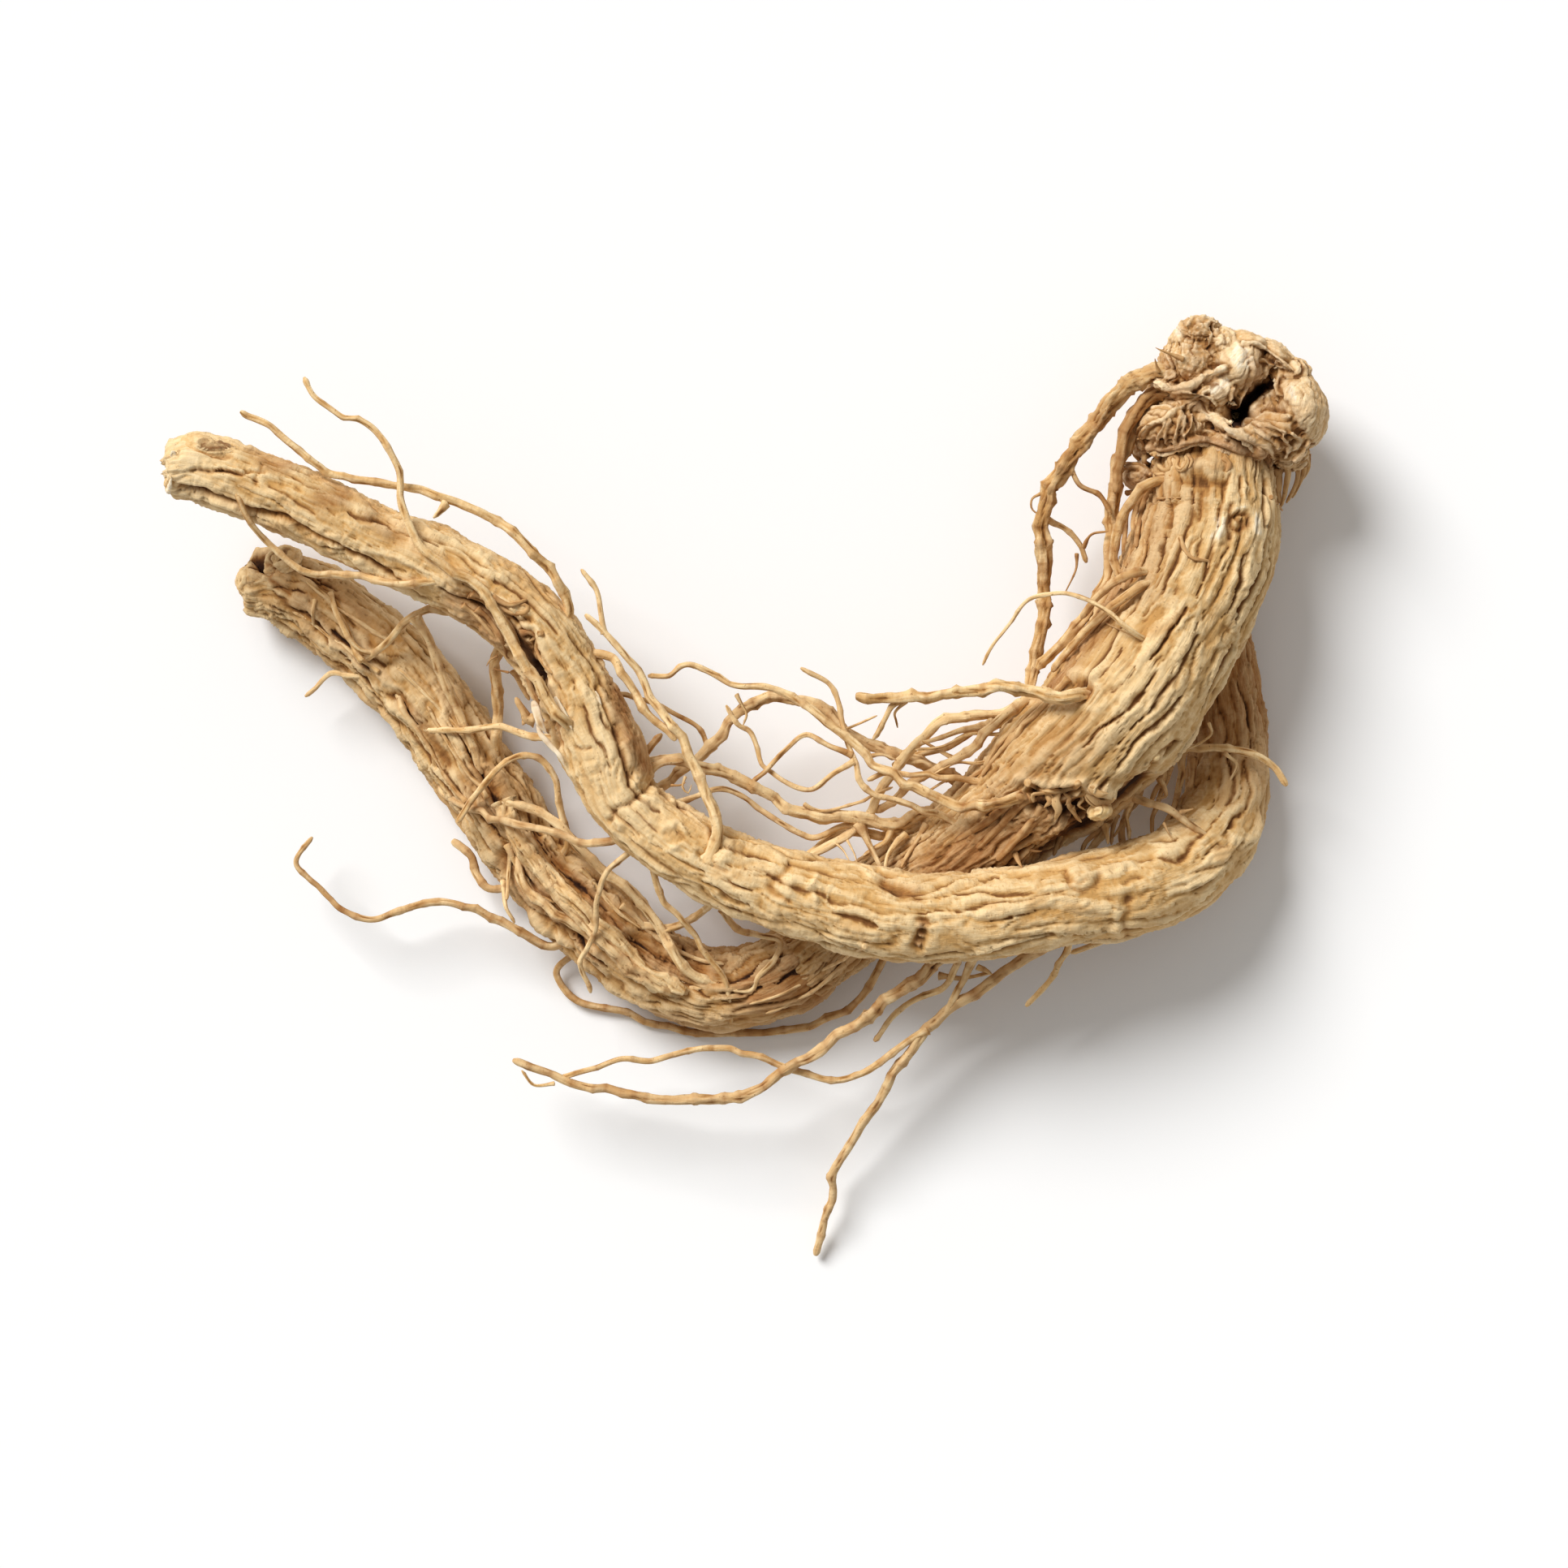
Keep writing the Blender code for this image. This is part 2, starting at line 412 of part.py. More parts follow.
def crown():
    """The knotted head of the root, with the pit of a lost stem between two lobes."""
    lobes = [
        lump(f"lobe_{i}", middle, sizes, turn, LOBE_ROUGHNESS, detail=3 if min(sizes) > LARGE_LOBE else 2)
        for i, (middle, sizes, turn) in enumerate(CROWN_LOBES)
    ]
    whole = joined(lobes[0], lobes[1:])
    return joined(whole, [lump("pit", *CROWN_PIT, PIT_ROUGHNESS, detail=2)], "DIFFERENCE")


def flat_rests(obj):
    """Shaves the lowest wrinkles level, where the root's weight lies on the surface."""
    mesh = bmesh.new()
    mesh.from_mesh(obj.data)
    bmesh.ops.remove_doubles(mesh, verts=mesh.verts, dist=LEAST_EDGE * MM)
    cut = bmesh.ops.bisect_plane(
        mesh,
        geom=mesh.verts[:] + mesh.edges[:] + mesh.faces[:],
        plane_co=(0, 0, 0),
        plane_no=(0, 0, -1),
        clear_outer=True,
    )
    edges = [e for e in cut["geom_cut"] if isinstance(e, bmesh.types.BMEdge)]
    bmesh.ops.holes_fill(mesh, edges=edges, sides=0)
    bmesh.ops.triangulate(mesh, faces=mesh.faces)
    mesh.to_mesh(obj.data)
    mesh.free()


def dry_root_skin():
    """Pale tan, dull root bark."""
    material = bpy.data.materials.new("dry_root_skin")
    material.use_nodes = True
    skin = material.node_tree.nodes["Principled BSDF"]
    skin.inputs["Base Color"].default_value = ROOT_COLOUR
    skin.inputs["Roughness"].default_value = ROOT_ROUGHNESS
    return material


for old in list(bpy.data.objects):
    bpy.data.objects.remove(old)
root = root_body("dried_root", TAPROOT + TAIL[:1], TAPROOT_SIDES, CREASES["taproot"])
thick_pieces = [
    root_body("tail", TAPROOT[-2:] + TAIL, TAIL_SIDES, []),
    root_body("branch", BRANCH, BRANCH_SIDES, CREASES["branch"]),
    crown(),
]
thick_pieces += [
    lump(f"knob_{i}", middle, sizes, turn, KNOB_ROUGHNESS, detail=1)
    for i, (middle, sizes, turn) in enumerate(END_KNOBS)
]
rootlets = [rootlet(f"rootlet_{i}", *row) for i, row in enumerate(ROOTLETS)]
joined(root, thick_pieces + rootlets)
flat_rests(root)
root.data.materials.append(dry_root_skin())
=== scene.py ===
"""The looks of a dried root: bark, furrows, scars, the knotted crown and the rootlets.

Routes and marks are in millimetres: right and up, then the height and the radius where they have
one. Right and up are where a point is seen from straight above, on the floor's plane, so
seen_at() pulls a point in by its height.
"""

import math

import bmesh
import bpy
import numpy as np
from mathutils import Matrix, Vector
from mathutils.bvhtree import BVHTree


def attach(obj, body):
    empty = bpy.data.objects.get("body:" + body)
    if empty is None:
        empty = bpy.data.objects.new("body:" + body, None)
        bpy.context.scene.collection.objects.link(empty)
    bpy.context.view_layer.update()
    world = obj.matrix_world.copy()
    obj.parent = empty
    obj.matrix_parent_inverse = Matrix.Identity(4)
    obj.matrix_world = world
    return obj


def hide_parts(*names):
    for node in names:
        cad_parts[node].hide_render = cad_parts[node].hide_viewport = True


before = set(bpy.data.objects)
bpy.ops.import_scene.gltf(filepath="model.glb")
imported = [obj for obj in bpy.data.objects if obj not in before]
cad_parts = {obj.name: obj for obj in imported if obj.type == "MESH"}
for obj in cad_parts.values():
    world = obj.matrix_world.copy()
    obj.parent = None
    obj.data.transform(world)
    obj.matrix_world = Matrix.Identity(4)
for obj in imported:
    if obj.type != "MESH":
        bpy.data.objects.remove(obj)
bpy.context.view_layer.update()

MM = 0.001

# The camera looks straight down from over the middle of the picture, through a long lens, so the
# tall crown leans outwards only a little.
LENS_HEIGHT = 644.0
LENS_LENGTH = 100.0
SENSOR_WIDTH = 36.0
LENS_OVER = (4.68, 1.21)
NEAREST_SEEN = 0.01

camera = bpy.data.objects.new("camera", bpy.data.cameras.new("camera"))
camera.data.lens = LENS_LENGTH
camera.data.sensor_width = SENSOR_WIDTH
camera.data.clip_start = NEAREST_SEEN
camera.location = (LENS_OVER[0] * MM, LENS_OVER[1] * MM, LENS_HEIGHT * MM)
bpy.context.scene.collection.objects.link(camera)
bpy.context.scene.camera = camera
bpy.context.scene.view_settings.view_transform = "Standard"

# The floor is a sheet of matt white paper, so wide that only a low view finds its edge.
FLOOR_HALF_WIDTH = 6.0
FLOOR_WHITE = (0.92, 0.925, 0.93, 1.0)
PAPER_ROUGHNESS = 0.9
PAPER_SHINE = 0.1

sheet = bmesh.new()
bmesh.ops.create_grid(sheet, x_segments=1, y_segments=1, size=FLOOR_HALF_WIDTH)
floor_mesh = bpy.data.meshes.new("floor")
sheet.to_mesh(floor_mesh)
sheet.free()
floor = bpy.data.objects.new("floor", floor_mesh)
bpy.context.scene.collection.objects.link(floor)
paper = bpy.data.materials.new("white_paper")
paper.use_nodes = True
paper_skin = paper.node_tree.nodes["Principled BSDF"]
paper_skin.inputs["Base Color"].default_value = FLOOR_WHITE
paper_skin.inputs["Roughness"].default_value = PAPER_ROUGHNESS
paper_skin.inputs["Specular IOR Level"].default_value = PAPER_SHINE
floor_mesh.materials.append(paper)

# A big soft lamp to the upper left throws the soft shadow to the lower right. A white room fills
# in the rest.
LAMP_DIRECTION = (0.72, -0.84, -1.0)
LAMP_STRENGTH = 3.35
LAMP_ANGLE = 0.5
ROOM_WHITE = (1.0, 0.97, 0.925, 1.0)
ROOM_STRENGTH = 0.39

lamp = bpy.data.objects.new("lamp", bpy.data.lights.new("lamp", "SUN"))
lamp.data.energy = LAMP_STRENGTH
lamp.data.angle = LAMP_ANGLE
lamp.rotation_euler = Vector(LAMP_DIRECTION).to_track_quat("-Z", "Y").to_euler()
bpy.context.scene.collection.objects.link(lamp)
room = bpy.data.worlds.new("white_room")
room.use_nodes = True
room.node_tree.nodes["Background"].inputs["Color"].default_value = ROOM_WHITE
room.node_tree.nodes["Background"].inputs["Strength"].default_value = ROOM_STRENGTH
bpy.context.scene.world = room

# Dried bark: a thin cream to ochre skin, dark with painted shade where it sinks in furrows and painted
# paler on the crests, with fine streaks along the grain, crosswise cracks and specks of old soil. Each
# point of a mesh holds how much painted shade it gets in a furrow ("furrow_shade"), how high on a crest it
# is ("crest"), how stained it is, together with painted shade ("stain_and_shade"), how bleached ("bleach")
# and its place in the grain, in millimetres.
SPECK_SIZE = 1.9
STREAK_STRETCH = (3.2, 3.2, 0.42)
PATCH_STRETCH = (0.16, 0.16, 0.075)
CRACK_STRETCH = (1.1, 1.1, 2.6)
FIBRE_STRETCH = (7.0, 7.0, 1.1)
STAIN_AND_SHADE_COLOUR = (0.48, 0.315, 0.205)
CHALK_COLOUR = (0.90, 0.79, 0.60)
BUMP_HEIGHT = 0.18
BARK_SHINE = 0.25


def bark_group():
    """The shader group that every bark material uses, with its colours as named inputs."""
    group = bpy.data.node_groups.new("dried_bark", "ShaderNodeTree")
    for way, kind, names in (
        ("INPUT", "NodeSocketColor", ("Cream", "Tan", "Ochre", "Brown", "Deep_shade", "Stain_and_shade", "Chalk")),
        ("INPUT", "NodeSocketFloat", ("Patches", "Specks")),
        ("OUTPUT", "NodeSocketColor", ("Color",)),
        ("OUTPUT", "NodeSocketFloat", ("Roughness", "Height")),
    ):
        for name in names:
            group.interface.new_socket(name, in_out=way, socket_type=kind)
    nodes, links = group.nodes, group.links
    given = nodes.new("NodeGroupInput")
    put_out = nodes.new("NodeGroupOutput")

    def stored(name, output="Fac"):
        """What the mesh holds under this name."""
        node = nodes.new("ShaderNodeAttribute")
        node.attribute_name = name
        return node.outputs[output]

    def cloud(stretch, detail, rough, warp=0.0):
        """Noise laid along the grain."""
        turn = nodes.new("ShaderNodeMapping")
        turn.inputs["Scale"].default_value = stretch
        links.new(stored("grain", "Vector"), turn.inputs["Vector"])
        node = nodes.new("ShaderNodeTexNoise")
        settings = {"Scale": 1.0, "Detail": detail, "Roughness": rough, "Distortion": warp}
        for socket, value in settings.items():
            node.inputs[socket].default_value = value
        links.new(turn.outputs["Vector"], node.inputs["Vector"])
        return node.outputs["Fac"]

    def ramp(value, low, high, low_out=0.0, high_out=1.0):
        """A smooth step from low to high."""
        node = nodes.new("ShaderNodeMapRange")
        node.interpolation_type = "SMOOTHSTEP"
        links.new(value, node.inputs["Value"])
        settings = {"From Min": low, "From Max": high, "To Min": low_out, "To Max": high_out}
        for socket, limit in settings.items():
            node.inputs[socket].default_value = limit
        return node.outputs["Result"]

    def sums(operation, a, b, clamp=False):
        """One step of arithmetic with two sockets or numbers."""
        node = nodes.new("ShaderNodeMath")
        node.operation = operation
        node.use_clamp = clamp
        for socket, value in zip(node.inputs, (a, b)):
            if isinstance(value, float):
                socket.default_value = value
            else:
                links.new(value, socket)
        return node.outputs["Value"]

    def stirred(value, noise, share):
        """The value, raised or lowered by a share of the noise."""
        return sums("ADD", value, sums("MULTIPLY", sums("SUBTRACT", noise, 0.5), share))

    def blend(share, a, b, way="MIX"):
        """Colour a with a share of colour b over it."""
        node = nodes.new("ShaderNodeMix")
        node.data_type = "RGBA"
        node.blend_type = way
        links.new(share, node.inputs["Factor"])
        links.new(a, node.inputs["A"])
        links.new(b, node.inputs["B"])
        return node.outputs["Result"]

    streaks = cloud(STREAK_STRETCH, 5.0, 0.62, 0.4)
    patches = cloud(PATCH_STRETCH, 3.0, 0.6, 0.8)
    cracks = cloud(CRACK_STRETCH, 4.0, 0.6, 0.3)
    fibres = cloud(FIBRE_STRETCH, 3.0, 0.65)
    specks = cloud((SPECK_SIZE,) * 3, 2.0, 0.5)

    # Painted light and shade: crests turn paler and low places ochre, by how high each point stands, under
    # streaks and patches of the bark's own tone.
    tone = stirred(stirred(stored("crest"), streaks, 0.9), patches, 1.1)
    colour = blend(ramp(tone, 0.15, 0.95), given.outputs["Tan"], given.outputs["Cream"])
    ochre = sums("MULTIPLY", ramp(patches, 0.50, 0.66), given.outputs["Patches"], clamp=True)
    colour = blend(ochre, colour, given.outputs["Ochre"])
    colour = blend(ramp(stored("crest"), 0.40, 0.05, 0.0, 0.75), colour, given.outputs["Ochre"])
    mottle = sums("MULTIPLY", ramp(cracks, 0.52, 0.66), 0.30)
    colour = blend(mottle, colour, given.outputs["Ochre"])
    bleach = sums("MULTIPLY", stored("bleach"), ramp(streaks, 0.30, 0.60, 0.55, 1.0), clamp=True)
    colour = blend(bleach, colour, given.outputs["Cream"])
    colour = blend(ramp(bleach, 0.55, 1.05), colour, given.outputs["Chalk"])
    # Stains multiply in a brown, and so does the painted shade stored with them.
    stain_and_shade = sums("MULTIPLY", stored("stain_and_shade"), ramp(streaks, 0.35, 0.65, 0.65, 1.0), clamp=True)
    colour = blend(stain_and_shade, colour, given.outputs["Stain_and_shade"], "MULTIPLY")
    # Painted shade: brown in the furrows, and near black in the deepest furrows and the pits.
    shade = stirred(stored("furrow_shade"), fibres, 0.35)
    colour = blend(ramp(shade, 0.15, 0.75), colour, given.outputs["Brown"])
    depths = sums("ADD", shade, sums("MULTIPLY", stored("stain_and_shade"), 0.4))
    colour = blend(ramp(depths, 0.75, 1.25), colour, given.outputs["Deep_shade"])
    dots = sums("MULTIPLY", ramp(specks, 0.66, 0.74), given.outputs["Specks"], clamp=True)
    colour = blend(dots, colour, given.outputs["Brown"])
    links.new(colour, put_out.inputs["Color"])

    links.new(ramp(stored("crest"), 0.0, 1.0, 0.92, 0.74), put_out.inputs["Roughness"])
    height = sums("ADD", sums("MULTIPLY", streaks, 0.9), sums("MULTIPLY", fibres, 0.5))
    height = sums("ADD", height, sums("MULTIPLY", cracks, 0.7))
    links.new(height, put_out.inputs["Height"])
    return group


dried_bark = bark_group()


def bark_material(name, cream, tan, ochre, brown, deep_shade, patches, specks, bump):
    """A Principled material of this piece's own, with the shared bark group in it."""
    material = bpy.data.materials.new(name)
    material.use_nodes = True
    nodes, links = material.node_tree.nodes, material.node_tree.links
    skin = nodes["Principled BSDF"]
    bark = nodes.new("ShaderNodeGroup")
    bark.node_tree = dried_bark
    colours = {"Cream": cream, "Tan": tan, "Ochre": ochre, "Brown": brown, "Deep_shade": deep_shade}
    for socket, colour in {**colours, "Stain_and_shade": STAIN_AND_SHADE_COLOUR, "Chalk": CHALK_COLOUR}.items():
        bark.inputs[socket].default_value = (*colour, 1.0)
    bark.inputs["Patches"].default_value = patches
    bark.inputs["Specks"].default_value = specks
    relief = nodes.new("ShaderNodeBump")
    relief.inputs["Strength"].default_value = bump
    relief.inputs["Distance"].default_value = BUMP_HEIGHT * MM
    skin.inputs["Specular IOR Level"].default_value = BARK_SHINE
    links.new(bark.outputs["Color"], skin.inputs["Base Color"])
    links.new(bark.outputs["Roughness"], skin.inputs["Roughness"])
    links.new(bark.outputs["Height"], relief.inputs["Height"])
    links.new(relief.outputs["Normal"], skin.inputs["Normal"])
    return material


# The taproot: the thick root under the crown. Its skin shrank as it dried, so it is drawn into
# ridges about two millimetres wide that wander down its length, with sharp furrows between.
TAPROOT = [
    (65.2, 53.4, 9, 3.6), (64.5, 50.4, 10.6, 6), (63.5, 46.6, 12.6, 9), (62.9, 42, 13.8, 10.2),
    (62.7, 38, 14.6, 10.8),
    (60.9, 31.3, 16.3, 11), (57, 23.3, 18, 11), (52.5, 15.5, 19.2, 11.3), (46.8, 7.8, 19.2, 11.2),
    (40.5, 1.8, 17.4, 10.8), (35, -3, 14.6, 9.3), (29, -7.7, 12.4, 8.4), (23, -12, 10, 8),
]
TAIL = [
    (15, -16.9, 7.9, 7.1), (7.2, -22.4, 6.8, 6.4), (0, -28, 6.2, 6.3), (-8.5, -30.3, 5.7, 6.1),
    (-17, -28.3, 5.7, 6.1), (-25, -22.8, 6.3, 6.4), (-32.8, -15.8, 6.4, 6.4), (-39.2, -8.3, 6.2, 6.3),
    (-44.8, 0, 6.2, 6.2), (-49.7, 7.8, 6.2, 6.2), (-55.3, 14.8, 6.2, 6.3), (-61.5, 20.8, 5.8, 6.1),
    (-68.3, 26, 5.6, 6), (-74, 29.3, 6, 5.4), (-78.6, 29.9, 6, 4.6),
]
TAPROOT_SIDES = 256
TAPROOT_RING_GAP = 0.31
TAPROOT_LENGTH = 108.0
TAPROOT_DOME = 2.0
DARKER_START = 62.0
PALER_START = 125.0
DARKER_PATCH = 0.12
DARKER_SEED = 61
DOME_STEP = 0.42
FURROW_WIDTH = 0.33
FINER_FURROW_WIDTH = 0.27
FURROW_SHARE = 0.7
HOLLOW_REACH = 1.1
MARK_WANDER = 0.45
MARK_SEED = 31
TORN_SEED = 51
FLOOR_GAP = 0.03
WELD = 1e-5


def share_seen(height):
    """How much nearer the middle a point at this height is than where the camera sees it."""
    return 1.0 - height / LENS_HEIGHT


def seen_at(right, up, height):
    """The point, in the frame's millimetres, that lies at this height and is seen at (right, up)."""
    share = share_seen(height)
    return np.array((right * share + LENS_OVER[0], up * share + LENS_OVER[1], height))


def as_seen(places, outward):
    """Where the camera sees points, as right and up, and how squarely they face it."""
    share = share_seen(places[:, 2])
    right = (places[:, 0] - LENS_OVER[0]) / share
    up = (places[:, 1] - LENS_OVER[1]) / share
    return right, up, np.clip(outward[:, 2] * 4.0 + 0.6, 0.0, 1.0)


def smooth_line(points, gap):
    """A smooth line through rows of numbers, with a new row about every gap millimetres."""
    rows = np.array(points, float)
    rows = np.vstack((2 * rows[0] - rows[1], rows, 2 * rows[-1] - rows[-2]))
    line = []
    for before, start, end, after in zip(rows, rows[1:], rows[2:], rows[3:]):
        count = max(1, round(np.linalg.norm((end - start)[:3]) / gap))
        t = np.arange(count)[:, None] / count
        line.append(
            0.5
            * (
                2 * start
                + (end - before) * t
                + (2 * before - 5 * start + 4 * end - after) * t**2
                + (3 * start - before - 3 * end + after) * t**3
            )
        )
    return np.vstack(line + [rows[-2:-1]])


def shuffled(key):
    """Scrambles whole numbers, so that neighbours come out unlike each other."""
    key = (key ^ (key >> 15)) * 2246822519 & 0xFFFFFFFF
    key = (key ^ (key >> 13)) * 3266489917 & 0xFFFFFFFF
    return key ^ (key >> 16)


def rounded_noise(places, seed=0):
    """Smooth noise between about -1 and 1 at rows of three numbers, one wave to each whole number."""
    corner = np.floor(places).astype(np.int64)
    within = places - corner
    ease = within**3 * (within * (within * 6.0 - 15.0) + 10.0)
    total = np.zeros(len(places))
    for step in np.ndindex(2, 2, 2):
        key = shuffled((corner + step) @ np.array((73856093, 19349663, 83492791)) + seed * 2654435761)
        slope = np.stack(((key & 1023), (key >> 10 & 1023), (key >> 20 & 1023)), 1) / 511.5 - 1.0
        weight = np.where(step, ease, 1.0 - ease).prod(1)
        total += weight * (slope * (within - step)).sum(1)
    return total * 1.6


def noise_along(line, seed):
    """The same noise at single numbers."""
    return rounded_noise(np.column_stack((line, line * 0.0, line * 0.0)), seed)


def pillows(u, v, around, seed):
    """Splits a surface into uneven cells about one unit wide, which repeat after `around` units of u.

    Gives the distance to the nearest crease, a number of its own for each crease and each cell, how
    far to one side of its cell a point is, and how nearly the crease runs along u.
    """
    corner_u, corner_v = np.floor(u).astype(np.int64), np.floor(v).astype(np.int64)
    near, next_near = np.full((2,) + u.shape, 9.0)
    near_key, next_key = np.zeros((2,) + u.shape, np.int64)
    near_u, near_v, next_u, next_v = np.zeros((4,) + u.shape)
    for i, j in np.ndindex(3, 3):
        cell_u, cell_v = corner_u + i - 1, corner_v + j - 1
        key = shuffled((cell_u % around) * 73856093 + cell_v * 19349663 + seed * 2654435761)
        x = cell_u + 0.1 + 0.8 * (key & 1023) / 1023.0
        y = cell_v + 0.1 + 0.8 * (key >> 10 & 1023) / 1023.0
        far = (u - x) ** 2 + (v - y) ** 2
        first = far < near
        second = ~first & (far < next_near)
        next_near = np.where(first, near, np.where(second, far, next_near))
        next_key = np.where(first, near_key, np.where(second, key, next_key))
        next_u = np.where(first, near_u, np.where(second, x, next_u))
        next_v = np.where(first, near_v, np.where(second, y, next_v))
        near, near_key = np.where(first, far, near), np.where(first, key, near_key)
        near_u, near_v = np.where(first, x, near_u), np.where(first, y, near_v)
    apart = np.hypot(next_u - near_u, next_v - near_v) + 0.05
    gap = (next_near - near) / (2.0 * apart)
    crease = shuffled(near_key ^ next_key) / 0xFFFFFFFF
    own = shuffled(near_key + 77) / 0xFFFFFFFF
    return gap, crease, own, u - near_u, ((next_v - near_v) / apart) ** 2


def along_route(points, gap, start=0.0, stop=None):
    """Rings for a tube along a route: centres, two cross directions, radii and distances."""
    line = smooth_line(points, gap)
    centres = np.array([seen_at(*row[:3]) for row in line])
    radii = line[:, 3] * share_seen(line[:, 2])
    steps = np.linalg.norm(np.diff(centres, axis=0), axis=1)
    distances = np.concatenate(((0.0,), np.cumsum(steps)))
    ahead = np.gradient(centres, axis=0)
    ahead /= np.linalg.norm(ahead, axis=1)[:, None]
    across = np.zeros_like(ahead)
    last = np.array((0.0, 0.0, 1.0))
    for i, way in enumerate(ahead):
        last = last - way * (last @ way)
        last /= np.linalg.norm(last)
        across[i] = last
    side = np.cross(ahead, across)
    kept = (distances >= start) & (distances <= (stop or distances[-1]))
    return [values[kept] for values in (centres, across, side, ahead, radii, distances)]


def with_ends(rings, dome):
    """The same rings with closed ends: each end's rings shrink to a point over a low dome."""
    centres, across, side, ahead, radii, distances = rings
    closed = [centres, across, side, ahead, radii, distances, np.ones(len(radii))]
    for i, way in ((0, -1.0), (-1, 1.0)):
        turn = np.linspace(0.0, math.pi / 2, max(4, int(radii[i] / DOME_STEP)) + 1)[1:]
        out = way * dome * np.sin(turn)
        extra = [np.repeat(values[i : i + 1 or None], len(turn), axis=0) for values in rings]
        extra[0] = extra[0] + out[:, None] * ahead[i]
        extra[5] = distances[i] + out
        extra.append(np.cos(turn))
        extra[6][-1] = 0.0
        if i:
            closed = [np.concatenate((values, more)) for values, more in zip(closed, extra)]
        else:
            closed = [np.concatenate((more[::-1], values)) for values, more in zip(closed, extra)]
    return closed


def smoothed(grid, across, along):
    """A grid of heights (ring by turn), averaged over this many points each way."""
    result = grid
    for _ in range(2):
        total = sum(np.roll(result, k, axis=1) for k in range(-across, across + 1))
        result = total / (2 * across + 1)
        padded = np.pad(result, ((along, along), (0, 0)), mode="edge")
        total = sum(padded[k : k + len(result)] for k in range(2 * along + 1))
        result = total / (2 * along + 1)
    return result


def wrinkled_bark(rings, sides, look):
    """Bark relief in millimetres, how much painted shade each point of the grid gets in a furrow, and its
    tint.

    Long ridges lie side by side in uneven rows, with finer ones over them. Crosswise creases stay
    shallow, and lumps, crinkles and grit roughen the whole.
    """
    radii, distances, shares = rings[4:]
    turn, distance = np.meshgrid(np.arange(sides) * math.tau / sides, distances)
    share = np.repeat(shares[:, None], sides, axis=1)
    radius = np.repeat(radii[:, None], sides, axis=1)

    def field(wave, stretch, number):
        """Noise with waves of this many millimetres round the root and along it."""
        across = radius * share / wave
        along = distance / stretch + 0.37 * number
        spots = np.stack((across * np.cos(turn), across * np.sin(turn), along), 2)
        return rounded_noise(spots.reshape(-1, 3), look["seed"] + number).reshape(turn.shape)

    wander = field(7.0, 11.0, 0) + 0.45 * field(2.8, 4.6, 1) + 0.12 * field(1.2, 1.6, 2)
    wander = look["wander"] * wander
    slide = look["slide"] * (field(6.0, 6.0, 3) + 0.5 * field(2.2, 2.6, 4))
    around, finer_around = look["around"], look["finer_around"]
    width, finer_width = math.tau * radius / around, math.tau * radius / finer_around

    gap, crease, own, aside, crosswise = pillows(
        turn / math.tau * around + wander, (distance + slide) / look["length"], around, look["seed"]
    )
    # each furrow has a depth of its own, and one that runs across the root stays shallow
    deep = np.clip(crease * 1.5 - 0.1, 0.12, 1.0) * (1.0 - look["soft"] * crosswise)
    gap = gap * width
    top = np.clip(gap / (0.5 * width), 0.0, 1.0)
    rise = 0.4 * (1.0 - np.exp(-gap / look["width"])) + 0.6 * top * (2.0 - top)
    relief = look["main"] * deep * (rise - FURROW_SHARE)
    # each ridge has a height of its own and leans to one side
    tilt = own * 37.0 % 2.0 - 1.0
    relief += rise * (look["own"] * (own - 0.5) + look["lean"] * aside * tilt)

    finer_gap, finer_crease, finer_own, _, crosswise = pillows(
        (turn / math.tau + 1.2 * wander / around) * finer_around,
        (distance + 1.3 * slide) / look["finer_length"],
        finer_around,
        look["seed"] + 50,
    )
    finer_deep = np.clip(finer_crease * 1.8 - 0.5, 0.0, 1.0) * (1.0 - look["soft"] * crosswise)
    finer_gap = finer_gap * finer_width
    finer_rise = 1.0 - np.exp(-finer_gap / (0.55 * look["width"]))
    finer_relief = finer_deep * (finer_rise - FURROW_SHARE) + 0.5 * (finer_own - 0.5) * finer_rise
    relief += look["finer"] * finer_relief

    # crinkles in patches, then lumps, grit and a slow swelling of the whole root
    patch = np.clip(field(5.0, 7.0, 5) * 1.8 + 0.5, 0.0, 1.0)
    crinkle = 0.5 - np.abs(field(1.5, 1.0, 6) + 0.5 * field(0.8, 0.6, 7))
    relief += look["crinkle"] * crinkle * (0.3 + 0.7 * patch)
    relief += look["lumps"] * field(2.4, 3.4, 8) + look["grit"] * field(0.55, 0.5, 9)
    relief += look["swell"] * radius * field(8.0, 15.0, 10)
    # painted shade along the furrow lines, darker in the deeper furrows
    furrow_shade = look["dark"] * deep**1.5 * np.exp(-((gap / FURROW_WIDTH) ** 2))
    finer_furrow_shade = 0.6 * look["dark"] * finer_deep * np.exp(-((finer_gap / FINER_FURROW_WIDTH) ** 2))
    return relief, np.maximum(furrow_shade, finer_furrow_shade), (own - 0.5) + 0.5 * (finer_own - 0.5)


def near_line(right, up, line):
    """How far points are, as seen from above, from a line through a few listed places."""
    least = np.full(len(right), 1e9)
    for (x0, y0), (x1, y1) in zip(line, line[1:]):
        dx, dy = x1 - x0, y1 - y0
        t = np.clip(((right - x0) * dx + (up - y0) * dy) / (dx * dx + dy * dy), 0.0, 1.0)
        least = np.minimum(least, np.hypot(right - x0 - t * dx, up - y0 - t * dy))
    return least


